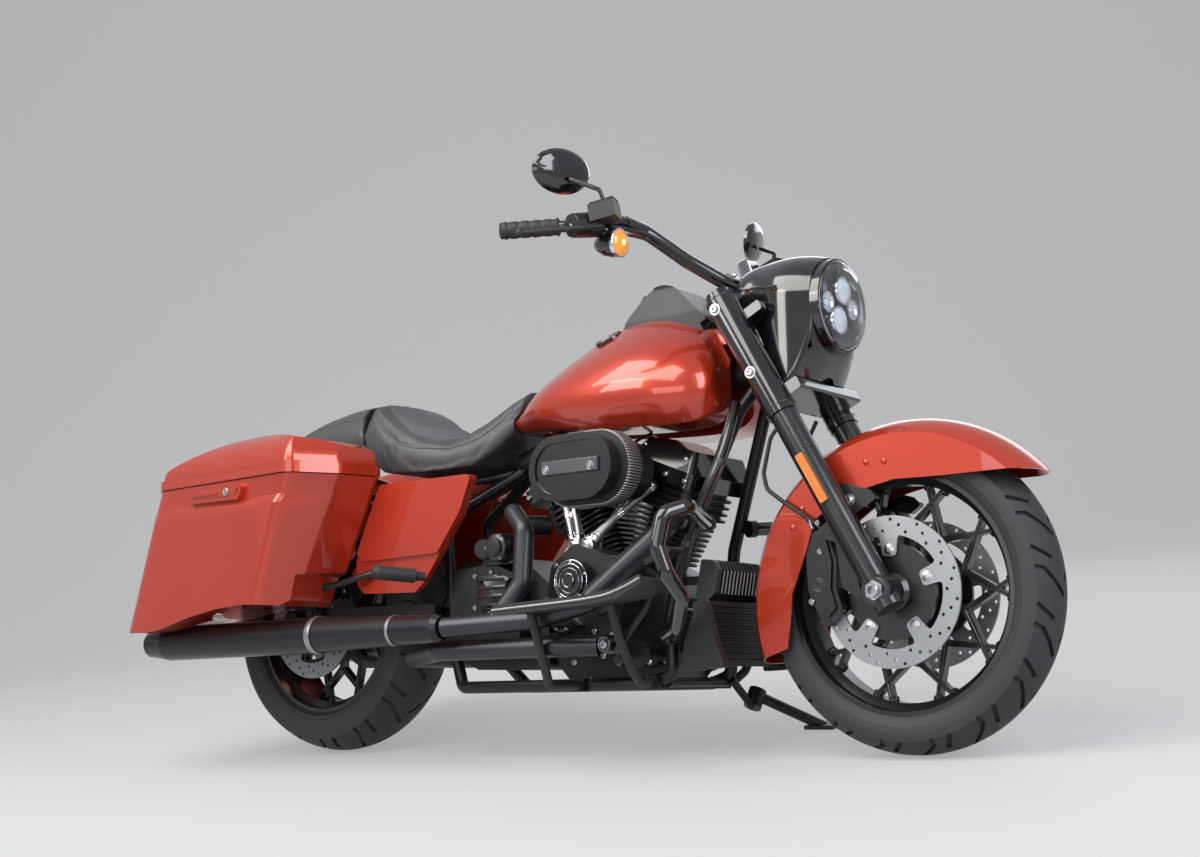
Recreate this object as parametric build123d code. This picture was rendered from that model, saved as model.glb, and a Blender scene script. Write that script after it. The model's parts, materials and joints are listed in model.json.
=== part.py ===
# Two-cylinder touring cruiser with hard saddlebags, parked on its side stand.
# Everything is drawn upright first, in millimetres: X forward from the rear axle,
# Y to the rider's left, Z up from the floor. place() then leans it on the stand.
from build123d import *
from math import sin, cos, tan, radians
import os

# --- driving dimensions -------------------------------------------------------
WHEELBASE = 1625.0
FRONT_TYRE_RADIUS = 319.0
FRONT_TYRE_WIDTH = 130.0
REAR_TYRE_RADIUS = 327.5
REAR_TYRE_WIDTH = 180.0
LEAN = 9.5                      # degrees to the left, on the side stand
LIFT = 1.5                      # tyre shoulders roll round their crowns as it leans
CENTRE_X = 719.0                # middle of the leaned bounding box, upright X
CENTRE_Y = 146.946              # middle of the leaned bounding box, leaned Y

FRONT_AXLE = (WHEELBASE, 0.0, FRONT_TYRE_RADIUS)
REAR_AXLE = (0.0, 0.0, REAR_TYRE_RADIUS)
RAKE = 26.0                     # steering head, degrees back from upright
HEAD_X_AT_FLOOR = 1795.0        # steering axis meets the floor here
FORK_ANGLE = 29.25              # fork legs lie a little flatter than the head
FORK_SPREAD = 125.0
STEERING_LOCK = 34.0            # degrees each way
CRANK = (950.0, 262.0)          # crankshaft centre, X and Z
VEE_HALF_ANGLE = 22.5
ROTOR_RADIUS = 150.0
WALL = 4.0
STAND_PIVOT = (1132.0, 184.0, 122.0)
STAND_FOOT = (1240.0, 296.0, 50.0)
STAND_FOLDED = (-1.0, 0.10, 0.02)
LID_HINGE_FRONT = (236.0, 437.6, 656.0)
LID_HINGE_REAR = (-180.0, 406.9, 656.0)


def head_x(z):
    """X of the steering axis at height z."""
    return HEAD_X_AT_FLOOR - z * sin(radians(RAKE)) / cos(radians(RAKE))


def fork_x(z):
    """X of the fork leg centre lines at height z."""
    return WHEELBASE - (z - FRONT_TYRE_RADIUS) * sin(radians(FORK_ANGLE)) / cos(radians(FORK_ANGLE))


def steer(z, ahead, up):
    """Point in the middle plane, measured square to the steering axis at height z."""
    tilt = radians(RAKE)
    return (head_x(z) + ahead * cos(tilt) - up * sin(tilt), z + ahead * sin(tilt) + up * cos(tilt))


def place(shape):
    """Lean onto the side stand and bring the origin under the middle."""
    return Pos(-CENTRE_X, -CENTRE_Y, LIFT) * Rot(-LEAN, 0, 0) * shape


# --- small shape helpers ------------------------------------------------------
def rod(a, b, radius):
    start = Vector(*a)
    run = Vector(*b) - start
    return extrude(Plane(origin=start, z_dir=run) * Circle(radius), amount=run.length)


def lathe(a, b, profile):
    """Turned piece: (along, radius) points from a towards b, closed on the axis."""
    start = Vector(*a)
    run = (Vector(*b) - start).normalized()
    flat = Plane(origin=start, x_dir=run, z_dir=run.cross(Vector(0, 0, 1)))
    points = [(profile[0][0], 0)] + list(profile) + [(profile[-1][0], 0)]
    face = flat * make_face(Polyline(*points, close=True))
    return revolve(face, Axis(start, run), 360)


def cone(a, b, radius_a, radius_b):
    length = (Vector(*b) - Vector(*a)).length
    return lathe(a, b, [(0, radius_a), (length, radius_b)])


def bent(points, radius, bend):
    path = FilletPolyline(*points, radius=bend)
    start = Plane(origin=path @ 0, z_dir=path % 0)
    return sweep(start * Circle(radius), path)


def disc(x, z, radius, y0, y1):
    return rod((x, y0, z), (x, y1, z), radius)


def rounded(corners, radii):
    """Outline through corners, each rounded by its own radius; 0 stays sharp."""
    if not isinstance(radii, (list, tuple)):
        radii = [radii] * len(corners)
    marks = []
    for index, corner in enumerate(corners):
        here = Vector(*corner)
        before = (Vector(*corners[index - 1]) - here).normalized()
        after = (Vector(*corners[(index + 1) % len(corners)]) - here).normalized()
        half = radians(before.get_angle(after) / 2)
        reach = radii[index] / tan(half)
        middle = here + (before + after).normalized() * (radii[index] / sin(half) - radii[index])
        marks.append((here + before * reach, middle, here + after * reach))
    edges = []
    for index, (start, middle, end) in enumerate(marks):
        if radii[index]:
            edges.append(ThreePointArc(start, middle, end))
        edges.append(Line(end, marks[(index + 1) % len(marks)][0]))
    return make_face(edges)


def slab(points, y0, y1, corner=0.0):
    """Side-view outline drawn across the machine from y0 to y1."""
    side = Plane(origin=(0, y1, 0), x_dir=(1, 0, 0), z_dir=(0, -1, 0))
    return extrude(side * rounded(points, corner), amount=y1 - y0)


def front_slab(points, x0, x1, corner=0.0):
    """Front-view outline of (y, z) points drawn along the machine from x0 to x1."""
    front = Plane(origin=(x0, 0, 0), x_dir=(0, 1, 0), z_dir=(1, 0, 0))
    return extrude(front * rounded(points, corner), amount=x1 - x0)


def block(x0, x1, y0, y1, z0, z1):
    middle = ((x0 + x1) / 2, (y0 + y1) / 2, (z0 + z1) / 2)
    return Pos(*middle) * Box(x1 - x0, y1 - y0, z1 - z0)


def across(shape):
    """The same piece on both sides of the machine."""
    return Compound(children=[shape, mirror(shape, about=Plane.XZ)])


def turned(profile, centre):
    """Profile of (across, radius) points turned round an axle."""
    face = Plane.YZ * make_face(Polyline(*profile, close=True))
    return Pos(*centre) * revolve(face, Axis.Y, 360)


def fuse(first, *others):
    shape = first
    for piece in others:
        shape = shape + piece
    return shape


# --- wheels -------------------------------------------------------------------
def tyre(radius, width, bead_radius, bead_half, sidewall_radius, centre):
    half = width / 2
    inner = 9.0
    lines = [
        Line((bead_half - 11, bead_radius), (bead_half, bead_radius)),
        Line((bead_half, bead_radius), (bead_half, bead_radius + 11)),
        ThreePointArc((bead_half, bead_radius + 11),
                      (half - 4, (bead_radius + sidewall_radius) / 2 + 4),
                      (half, sidewall_radius)),
        ThreePointArc((half, sidewall_radius), (0, radius), (-half, sidewall_radius)),
        ThreePointArc((-half, sidewall_radius),
                      (4 - half, (bead_radius + sidewall_radius) / 2 + 4),
                      (-bead_half, bead_radius + 11)),
        Line((-bead_half, bead_radius + 11), (-bead_half, bead_radius)),
        Line((-bead_half, bead_radius), (11 - bead_half, bead_radius)),
        Line((11 - bead_half, bead_radius), (inner - half, sidewall_radius - 2)),
        ThreePointArc((inner - half, sidewall_radius - 2), (0, radius - 12),
                      (half - inner, sidewall_radius - 2)),
        Line((half - inner, sidewall_radius - 2), (bead_half - 11, bead_radius)),
    ]
    face = Plane.YZ * make_face(lines)
    return Pos(*centre) * revolve(face, Axis.Y, 360)


def cast_wheel(bead_radius, bead_half, hub_half, hub_radius, hub_flange, pairs, centre):
    lip = bead_radius + 10
    barrel = turned([
        (-bead_half - 4, lip), (-bead_half, lip), (-bead_half, bead_radius),
        (-bead_half + 14, bead_radius), (-bead_half + 24, bead_radius - 16),
        (bead_half - 24, bead_radius - 16), (bead_half - 14, bead_radius),
        (bead_half, bead_radius), (bead_half, lip), (bead_half + 4, lip),
        (bead_half + 4, bead_radius - 6), (bead_half - 16, bead_radius - 8),
        (bead_half - 28, bead_radius - 23), (28 - bead_half, bead_radius - 23),
        (16 - bead_half, bead_radius - 8), (-bead_half - 4, bead_radius - 6),
    ], (0, 0, 0))
    flange = hub_half - 8
    hub = turned([(-hub_half, 13), (hub_half, 13), (hub_half, 30), (flange, 38), (flange, hub_flange),
                  (flange - 8, hub_flange), (flange - 14, hub_radius - 12), (12, hub_radius),
                  (-12, hub_radius), (14 - flange, hub_radius - 12), (8 - flange, hub_flange),
                  (-flange, hub_flange), (-flange, 38), (-hub_half, 30)], (0, 0, 0))
    lattice = Sketch()
    half_step = 180.0 / pairs
    apex = bead_radius * 0.52
    crossing = bead_radius * 0.775
    reach = bead_radius - 19
    for index in range(pairs):
        middle = index * 2 * half_step
        cross_point = Vector(crossing, 0).rotate(Axis.Z, middle)
        for swing in (-1, 1):
            start = Vector(apex, 0).rotate(Axis.Z, middle + swing * half_step)
            run = (cross_point - start).normalized()
            end = cross_point + run * (reach - crossing) * 1.13
            side = run.rotate(Axis.Z, 90)
            lattice += make_face(Polyline(start + side * 6.5, end + side * 4.5, end - side * 4.5,
                                          start - side * 6.5, close=True))
        rib = Pos((apex + hub_radius) / 2, 0) * Rectangle(apex - hub_radius + 14, 15)
        lattice += Rot(0, 0, middle + half_step) * rib
    cut = Circle(hub_radius - 3)
    spokes = extrude(Plane.XZ * (lattice - cut), amount=10, both=True)
    return Pos(*centre) * fuse(barrel, hub, spokes)


def rotor(radius, ring, y, bolt_radius, centre):
    """Brake disc whose five tabs reach in to their bolts."""
    face = Circle(radius) - Circle(ring)
    for index in range(5):
        tab = rounded([(ring + 5, 34), (ring - 6, 19), (bolt_radius - 13, 15), (bolt_radius - 13, -15),
                       (ring - 6, -19), (ring + 5, -34)], [0, 12, 8, 8, 12, 0])
        face += Rot(0, 0, index * 72 + 18) * (tab - Pos(bolt_radius, 0) * Circle(4.2))
    disc_plane = Plane(origin=(0, y, 0), x_dir=(1, 0, 0), z_dir=(0, -1, 0))
    return Pos(*centre) * extrude(disc_plane * face, amount=2.5, both=True)


def front_tyre():
    return tyre(FRONT_TYRE_RADIUS, FRONT_TYRE_WIDTH, 240.0, 50.0, 277.0, FRONT_AXLE)


def rear_tyre():
    return tyre(REAR_TYRE_RADIUS, REAR_TYRE_WIDTH, 228.0, 70.0, 280.0, REAR_AXLE)


def front_wheel():
    return cast_wheel(240.0, 50.0, 91.0, 46.0, 96.0, 10, FRONT_AXLE)


def rear_wheel():
    return cast_wheel(228.0, 70.0, 99.0, 52.0, 80.0, 10, REAR_AXLE)


def front_rotors():
    return across(rotor(ROTOR_RADIUS, 112, 86, 83, FRONT_AXLE))


def rear_rotor():
    boss = turned([(-91.5, 56), (-106, 56), (-106, 80), (-91.5, 80)], REAR_AXLE)
    return rotor(146, 108, -108, 76, REAR_AXLE) + boss


def rear_pulley():
    return turned([(91.5, 56), (91.5, 80), (95, 98), (92.5, 104), (92.5, 120), (94, 120), (94, 113.5),
                   (110, 113.5), (110, 120), (112, 120), (112, 104), (102, 96), (102, 56)], REAR_AXLE)


def rear_axle():
    bar = disc(0, REAR_TYRE_RADIUS, 12.5, -176, 176)
    return fuse(bar, disc(0, REAR_TYRE_RADIUS, 19, -182, -166), disc(0, REAR_TYRE_RADIUS, 19, 166, 182))


# --- front end ----------------------------------------------------------------
def fork_point(z, y):
    return (fork_x(z), y, z)


def fork_legs():
    slider = rod(fork_point(285, FORK_SPREAD), fork_point(690, FORK_SPREAD), 29)
    lug = disc(WHEELBASE, FRONT_TYRE_RADIUS, 32, 100, 150)
    leg = slider + lug - disc(WHEELBASE, FRONT_TYRE_RADIUS, 12.6, 90, 170)
    stay = slab([(1490, 512), (1585, 488), (1612, 506), (1596, 522), (1520, 545)], 86, 104, 8)
    lug_low = slab([(1476, 436), (1530, 420), (1540, 330), (1586, 300), (1560, 420), (1520, 470)],
                   112, 130, 6)
    tube = rod((WHEELBASE, -160, FRONT_TYRE_RADIUS), (WHEELBASE, 160, FRONT_TYRE_RADIUS), 12.5)
    hollow = rod((WHEELBASE, -170, FRONT_TYRE_RADIUS), (WHEELBASE, 170, FRONT_TYRE_RADIUS), 8)
    legs = across(fuse(leg, stay, lug_low))
    return Compound(children=[legs, tube - hollow])


def legs_at_lock(radius):
    """Space that the upper fork legs pass through near full lock."""
    axis = Axis((head_x(840), 0, 840), (head_x(841) - head_x(840), 0, 1))
    leg = rod(fork_point(700, FORK_SPREAD), fork_point(974, FORK_SPREAD), radius)
    swept = leg.rotate(axis, STEERING_LOCK)
    for turn in (STEERING_LOCK - 4, STEERING_LOCK - 9, STEERING_LOCK - 15):
        swept = swept + leg.rotate(axis, turn)
    return across(swept)


def clamp_plate(z, back, ahead, half, grow=0.0):
    """Flat triple clamp square to the steering axis, crossing it at height z."""
    outline = [steer(z, back - grow, -half - grow), steer(z, ahead + grow, -half - grow),
               steer(z, ahead + grow, half + grow), steer(z, back - grow, half + grow)]
    return slab(outline, -FORK_SPREAD - grow, FORK_SPREAD + grow, 5)


def fork_covers():
    cover = rod(fork_point(691, FORK_SPREAD), fork_point(955, FORK_SPREAD), 33)
    cap = rod(fork_point(955, FORK_SPREAD), fork_point(968, FORK_SPREAD), 27)
    tube = cover + cap
    lower = clamp_plate(746, -58, 26, 13)
    upper = clamp_plate(922, -62, 24, 11)
    stem = rod((head_x(750), 0, 750), (head_x(925), 0, 925), 14)
    return fuse(tube, mirror(tube, about=Plane.XZ), lower, upper, stem)


NACELLE_STATIONS = (  # x, underside z, top z, half width, corner radius below
    (1472, 826, 1034, 100, 96), (1440, 752, 1043, 104, 60), (1400, 728, 1048, 106, 46),
    (1345, 790, 1047, 90, 60), (1296, 864, 1040, 82, 76), (1262, 889, 1025, 70, 64))


def nacelle_shape(grow):
    """Bullet-shaped headlamp shell that reaches down to the lower clamp."""
    faces = []
    for x, low, high, half_width, below in NACELLE_STATIONS:
        w = half_width + grow
        section = rounded([(-w, low - grow), (w, low - grow), (w, high + grow), (-w, high + grow)],
                          [below, below, w * 0.96, w * 0.96])
        faces.append(Plane(origin=(x, 0, 0), x_dir=(0, 1, 0), z_dir=(1, 0, 0)) * section)
    return loft(faces)


def nacelle():
    shell = nacelle_shape(0)
    core = nacelle_shape(-4) & block(1100, 1466, -200, 200, 700, 1200)
    open_base = slab([(1150, 700), (1150, 930), (1262, 930), (1330, 896), (1408, 744), (1446, 736),
                      (1446, 700)], -200, 200)
    rear_window = block(1200, 1280, -62, 62, 850, 1016)
    clamp_gaps = clamp_plate(922, -62, 24, 11, 2) + clamp_plate(746, -58, 26, 13, 2)
    head_gap = rod((head_x(700), 0, 700), (head_x(880), 0, 880), 38)
    for side in (-1, 1):
        shell -= rod(fork_point(640, side * FORK_SPREAD), fork_point(1100, side * FORK_SPREAD), 34)
    return shell - core - open_base - rear_window - clamp_gaps - head_gap


def headlamp():
    ring = rod((1472.5, 0, 930), (1492, 0, 930), 100) - rod((1470, 0, 930), (1500, 0, 930), 90)
    bowl = rod((1472.5, 0, 930), (1477, 0, 930), 92)
    upper = cone((1476, 14, 962), (1488, 14, 962), 34, 30)
    lower = cone((1476, -14, 896), (1488, -14, 896), 34, 30)
    return fuse(ring, bowl, upper, lower)


def headlamp_lens():
    dome = lathe((1492.5, 0, 930), (1510, 0, 930), [(0, 97), (5, 94), (11, 78), (15, 50), (16.5, 20)])
    hollow = lathe((1492.5, 0, 930), (1510, 0, 930), [(0, 92), (3, 90), (8, 75), (12, 48), (13.5, 18)])
    return dome - hollow


BAR_HALF = (  # bend points of the left half of the handlebar
    (1240, 62, 1010), (1186, 122, 1054), (1126, 196, 1116), (1112, 262, 1128), (1064, 384, 1100),
    (955, 446, 1098))


BAR_THICK = BAR_HALF[:3] + ((1114, 252, 1126),)    # the stout middle of the bar


def handlebar_tube(radius):
    """The whole bent bar as one tube."""
    right = [(x, -y, z) for x, y, z in reversed(BAR_HALF)]
    return bent(right + list(BAR_HALF), radius, 26)


def handlebar():
    right = [(x, -y, z) for x, y, z in reversed(BAR_THICK)]
    bar = handlebar_tube(12.7) + bent(right + list(BAR_THICK), 16, 28)
    riser = rod((1236, 40, 934), (1241, 40, 1010), 14) + rod((1240, 26, 1010), (1240, 56, 1010), 21)
    return fuse(bar, riser, mirror(riser, about=Plane.XZ))


def grips():
    start = Vector(1064, 384, 1100)
    run = (Vector(955, 446, 1098) - start).normalized()
    length = 126
    profile = [(18, 17), (22, 20), (26, 17)]
    for index in range(4):
        at = 34 + index * 24
        profile += [(at, 17), (at + 3, 18.4), (at + 15, 18.4), (at + 18, 17)]
    profile += [(length + 2, 17), (length + 6, 19.5), (length + 14, 17)]
    sleeve = lathe(start, start + run, profile) - rod(start, start + run * (length + 3), 13)
    return across(sleeve)


def hand_controls():
    housing = rod((1085, 331, 1110), (1066, 379, 1102), 24)
    tank = Pos(1124, 336, 1129) * Rot(0, -10, -18) * Box(58, 44, 38)
    lid = Pos(1122, 336, 1149) * Rot(0, -10, -18) * Box(52, 38, 4)
    lever = bent([(1122, 346, 1098), (1102, 392, 1088), (1004, 466, 1080)], 6, 22)
    knob = Pos(1002, 468, 1080) * Sphere(9)
    group = fuse(tank, lid, lever, knob, housing) - handlebar_tube(12.9)
    return across(group)


def mirrors():
    stem = bent([(1122, 334, 1153.5), (1120, 346, 1177), (1062, 374, 1206)], 5, 12)
    glass = Plane(origin=(1041, 377, 1226), x_dir=(-0.34, 0.94, 0), z_dir=(-0.92, -0.33, 0.2))
    head = loft([glass.offset(8) * Ellipse(68, 46), glass * Ellipse(71, 48.5),
                 glass.offset(-9) * Ellipse(64, 42), glass.offset(-16) * Ellipse(42, 26)], ruled=True)
    return across(stem + head)


def front_signals():
    body = lathe((1062, 286, 1079), (1124, 286, 1074), [(0, 7), (4, 14), (14, 21), (28, 27), (44, 30),
                                                        (58, 30), (62, 26), (64, 16)])
    stem = rod((1100, 286, 1088), (1104, 286, 1113), 8)
    return across(body + stem - handlebar_tube(12.9))


def fender_shell(centre, outer, half_width, thickness, skirt, start, sweep_angle):
    crown = outer - 26
    edge = outer - skirt
    wide = half_width
    thin = half_width - thickness
    lines = [
        Line((-wide, edge), (-wide, crown - 10)),
        ThreePointArc((-wide, crown - 10), (0, outer), (wide, crown - 10)),
        Line((wide, crown - 10), (wide, edge)),
        Line((wide, edge), (thin, edge)),
        Line((thin, edge), (thin, crown - 12)),
        ThreePointArc((thin, crown - 12), (0, outer - thickness), (-thin, crown - 12)),
        Line((-thin, crown - 12), (-thin, edge)),
        Line((-thin, edge), (-wide, edge)),
    ]
    face = Plane.YZ * make_face(lines)
    ring = revolve(face, Axis.Y, sweep_angle)
    return Pos(*centre) * Rot(0, start, 0) * ring


FRONT_FENDER_EDGE = (  # lower edge seen from the side, x and z
    (1990, 538), (1912, 540), (1735, 539), (1640, 541), (1568, 527), (1525, 519), (1457, 474), (1435, 414),
    (1397, 324), (1384, 225), (1363, 120), (2000, 120))


def front_fender():
    shell = fender_shell((1646.4, 0, 298.4), 370.5, 84, 4, 150, -107.5, 157.2)
    return shell - slab(FRONT_FENDER_EDGE, -120, 120)


def front_calipers():
    body = slab([(1470, 452), (1500, 440), (1520, 384), (1516, 330), (1530, 290), (1500, 262),
                 (1476, 274), (1452, 330), (1450, 400)], 66, 111.7, [12, 10, 16, 16, 8, 12, 14, 30, 30])
    disc_gap = disc(WHEELBASE, FRONT_TYRE_RADIUS, 156, 82, 92)
    leg_gap = rod(fork_point(200, FORK_SPREAD), fork_point(700, FORK_SPREAD), 31)
    return across(body - disc_gap - leg_gap)


def brake_lines():
    """Hoses from the lower clamp down behind the fork to each caliper."""
    hose = bent([(1384, 62, 702), (1350, 72, 655), (1339, 86, 580), (1350, 92, 545), (1387, 96, 518),
                 (1438, 98.5, 484), (1480, 98.5, 452)], 4.5, 30)
    ferrule = lathe((1449, 98.5, 475), (1480, 98.5, 452), [(0, 6), (14, 6), (15, 7.5), (24, 7.5)])
    return across(fuse(hose, ferrule))


def reflectors():
    a = fork_point(500, 0)
    b = fork_point(600, 0)
    strip = slab([(a[0] - 8, a[2] - 4), (b[0] - 8, b[2] - 4), (b[0] + 8, b[2] + 4), (a[0] + 8, a[2] + 4)],
                 154.5, 160, 3)
    return across(strip)


# --- chassis ------------------------------------------------------------------
def frame():
    head = rod((head_x(762), 0, 762), (head_x(908), 0, 908), 32)
    bore = rod((head_x(740), 0, 740), (head_x(940), 0, 940), 14.5)
    spine = bent([(head_x(835), 0, 835), (900, 0, 762), (620, 0, 676)], 29, 60)
    down = bent([(1316, 10, 812), (1262, 50, 727), (1143, 95, 442), (1112, 110, 290), (1116, 112, 168),
                 (1060, 118, 150), (520, 118, 150), (455, 74, 240), (430, 74, 552), (628, 20, 656)], 14, 26)
    rails = bent([(628, 14, 658), (430, 100, 626), (360, 129, 626), (-130, 129, 606)], 10, 40)
    gusset = slab([(1396, 790), (1330, 764), (1240, 800), (1300, 838), (1380, 850)], -9, 9, 6)
    shock_pin = disc(102, 612, 8, 120, 184)
    guard_top = rod((1163, 90, 486), (1194, 86, 485), 9) + rod((1190.8, 80.3, 484.9), (1197.8, 95.6, 486), 19)
    guard_low = rod((1113.6, 110.6, 247.4), (1121.8, 127.5, 248), 18)
    regulator_mount = block(1124, 1173.4, 84, 97, 356, 374)
    board_mounts = block(1060, 1094, 112, 140, 138, 166) + block(864, 896, 112, 140, 136, 164)
    side = fuse(down, rails, shock_pin, guard_top, guard_low, regulator_mount, board_mounts)
    ties = fuse(rod((456, -112, 323), (456, 112, 323), 17), rod((1102, -112, 152), (1102, 112, 152), 10),
                rod((520, -118, 150), (520, 118, 150), 12), rod((1117, -110, 300), (1117, 110, 300), 10))
    pivot = Vector(*STAND_PIVOT)
    along = stand_axis()
    stand_lug = fuse(rod(pivot - along * 30, pivot - along * 13.3, 20), rod(pivot, pivot - along * 20, 7.8),
                     rod((1116, 112, 156), pivot - along * 29, 9), rod(pivot, pivot + along * 17, 7.8))
    return fuse(head, spine, side, mirror(side, about=Plane.XZ), gusset, ties, stand_lug) - bore


def swingarm():
    arm = slab([(470, 300), (470, 345), (60, 352), (-40, 350), (-52, 327), (-40, 304), (60, 300)],
               138, 160, 8)
    arm = arm - disc(0, REAR_TYRE_RADIUS, 12.7, 130, 170)
    arm = arm + disc(70, 338, 8, 158, 184)
    cross = block(372, 414, -138, 138, 302, 344)
    return Compound(children=[fuse(arm, mirror(arm, about=Plane.XZ), cross), rear_axle()])


def shocks():
    low = Vector(70, 171, 338)
    high = Vector(102, 171, 612)
    profile = [(17, 12), (34, 12), (34, 26), (44, 26)]
    for coil in range(10):
        at = 48 + coil * 14
        profile += [(at, 20), (at + 4, 25), (at + 8, 25), (at + 12, 20)]
    profile += [(190, 27), (204, 27), (204, 22), (244, 22), (244, 12), (262, 12)]
    body = lathe(low, high, profile)
    eyes = disc(70, 338, 19, 161, 182) + disc(102, 612, 19, 161, 182)
    holes = disc(70, 338, 8.2, 150, 190) + disc(102, 612, 8.2, 150, 190)
    return across(fuse(body, eyes) - holes)


def crankcase():
    x, z = CRANK
    case = slab([(x - 170, z - 60), (x - 120, z - 112), (x + 100, z - 112), (x + 160, z - 50),
                 (x + 150, z + 70), (x + 118, z + 124), (x + 40, z + 166), (x - 40, z + 166),
                 (x - 118, z + 124), (x - 165, z + 60)], -92, 92, 14)
    cam = slab([(x - 130, z + 60), (x - 112, z + 10), (x - 30, z - 20), (x + 70, z + 10),
                (x + 96, z + 80), (x + 60, z + 160), (x - 46, z + 196), (x - 112, z + 150)],
               -178, -92, 18)
    timer = lathe((915, -170, 374), (915, -215, 374), [(0, 46), (36, 46), (36, 38), (41, 38), (41, 16), (45, 16)])
    return fuse(case, cam, timer)


def on_vee(side, along, off=0.0):
    """Point on a cylinder axis; side +1 is the front cylinder."""
    tilt = radians(VEE_HALF_ANGLE) * side
    return (CRANK[0] + along * sin(tilt) + off * cos(tilt), CRANK[1] + along * cos(tilt) - off * sin(tilt))


def vee_plane(side, along):
    x, z = on_vee(side, along)
    tilt = radians(VEE_HALF_ANGLE) * side
    return Plane(origin=(x, 0, z), x_dir=(cos(tilt), 0, -sin(tilt)), z_dir=(sin(tilt), 0, cos(tilt)))


def cylinders():
    """Finned barrels with their finned heads."""
    clip = slab([(CRANK[0] - 170, 100), (CRANK[0] - 170, 386), (CRANK[0] - 118, 388), (CRANK[0] - 40, 430),
                 (CRANK[0] + 40, 430), (CRANK[0] + 118, 388), (CRANK[0] + 170, 386),
                 (CRANK[0] + 170, 100)], -300, 300)
    middle = slab([(949, 300), (951, 300), (951, 800), (949, 800)], -200, 200)
    pieces = []
    for side in (-1, 1):
        stack = extrude(vee_plane(side, 172) * Circle(58), amount=120)
        for index in range(9):
            size = 62 + index * 1.4
            fin = vee_plane(side, 180 + index * 12) * RectangleRounded(2 * size, 2 * size + 8, 34)
            stack = stack + extrude(fin, amount=4.5)
        stack = stack + extrude(vee_plane(side, 289) * RectangleRounded(150, 156, 30), amount=66)
        for index in range(4):
            fin = vee_plane(side, 292 + index * 15) * RectangleRounded(172, 176, 36)
            stack = stack + extrude(fin, amount=5)
        pieces.append(stack - clip - middle)
    return Compound(children=pieces)


def rocker_covers():
    pieces = []
    for side in (-1, 1):
        base = extrude(vee_plane(side, 356) * RectangleRounded(186, 250, 16), amount=34)
        low = vee_plane(side, 389) * RectangleRounded(180, 244, 14)
        high = vee_plane(side, 436) * RectangleRounded(132, 190, 12)
        pieces.append(base + loft([low, high], ruled=True))
    return Compound(children=pieces)


def pushrod_tubes():
    rows = (  # cylinder side, offset on the head, lower x, lower z
        (1, -2, 912, 463), (1, -26, 930, 463), (-1, 4, 872, 463), (-1, 28, 892, 463))
    pieces = []
    for side, off, low_x, low_z in rows:
        high_x, high_z = on_vee(side, 344, off)
        pieces.append(rod((low_x, -138, low_z), (high_x, -112, high_z), 9))
    return Compound(children=pieces)


def primary_cover():
    outline = slab([(560, 250), (590, 208), (700, 196), (900, 180), (1010, 178), (1070, 230),
                    (1072, 300), (1020, 352), (900, 372), (700, 396), (590, 380), (556, 330)],
                   96, 205, 26)
    face = slab([(580, 255), (600, 224), (700, 212), (900, 196), (1000, 194), (1050, 240),
                 (1052, 296), (1010, 338), (900, 356), (700, 380), (600, 364), (576, 325)],
                205, 232, 22)
    return outline + face


def gearbox():
    body = slab([(480, 230), (560, 190), (774, 186), (774, 380), (700, 440), (520, 440), (480, 400)],
                -110, 90, 12)
    side = slab([(500, 250), (720, 230), (720, 400), (640, 430), (520, 420)], -150, -110, 16)
    return body + side


def air_cleaner():
    back = extrude(Pos(1000, -150, 606) * Rot(90, 0, 0) * SlotOverall(206, 128), amount=60)
    cover = extrude(Pos(992, -262, 606) * Rot(90, 0, 0) * SlotOverall(214, 134), amount=36)
    return Compound(children=[back, cover])


def air_filter():
    return extrude(Pos(1000, -210.5, 606) * Rot(90, 0, 0) * SlotOverall(232, 156), amount=51)


def muffler_can(grow):
    profile = [(0, 26), (14, 32), (150, 34), (409, 43), (945, 43), (1007, 34), (1019, 33)]
    return lathe((615 + grow, -290, 281.3), (-404, -290, 275.5), [(along, r + grow) for along, r in profile])


def exhaust_headers():
    front = bent([(1112, -72, 500), (1142, -142, 494), (1158, -200, 462), (985, -232, 322),
                  (850, -250, 290), (620, -290, 282)], 22, 24)
    rear = bent([(744, -70, 515), (706, -126, 516), (752, -206, 536), (806, -230, 492),
                 (806, -240, 372), (744, -262, 290)], 22, 22)
    shield = rod((1150, -199, 457), (996, -232, 332), 28)
    under = bent([(985, -200, 232), (900, -236, 232), (560, -246, 232), (384, -150, 222),
                  (384, 150, 222), (500, 262, 262), (590, 290, 281)], 23, 40)
    under = under - mirror(muffler_can(0.3), about=Plane.XZ)
    heads = []
    for side in (-1, 1):
        heads.append(extrude(vee_plane(side, 270) * RectangleRounded(174, 178, 36), amount=86))
        heads.append(extrude(vee_plane(side, 355) * RectangleRounded(188, 252, 16), amount=60))
    return Compound(children=[fuse(front, rear, shield) - fuse(*heads), under])


def mufflers():
    return across(muffler_can(0))


# --- tank, seat, panels -------------------------------------------------------
TANK_STATIONS = (  # x, base half, base z, widest half, widest z, top half, shoulder z, top z
    (640, 46, 748, 66, 768, 36, 784, 794),
    (740, 100, 734, 134, 776, 76, 840, 868),
    (880, 150, 716, 185, 780, 100, 892, 940),
    (1020, 160, 702, 196, 784, 108, 918, 974),
    (1140, 148, 698, 188, 786, 102, 906, 948),
    (1205, 122, 706, 160, 790, 86, 880, 914),
    (1238, 82, 734, 120, 792, 62, 852, 876))


def tank_section(x, half_base, z_base, half_wide, z_wide, half_top, z_shoulder, z_top):
    skin = Spline((half_base, z_base), (half_wide, z_wide), (half_top, z_shoulder), (0, z_top),
                  (-half_top, z_shoulder), (-half_wide, z_wide), (-half_base, z_base))
    plane = Plane(origin=(x, 0, 0), x_dir=(0, 1, 0), z_dir=(1, 0, 0))
    return plane * make_face([skin, Line((-half_base, z_base), (half_base, z_base))])


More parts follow.
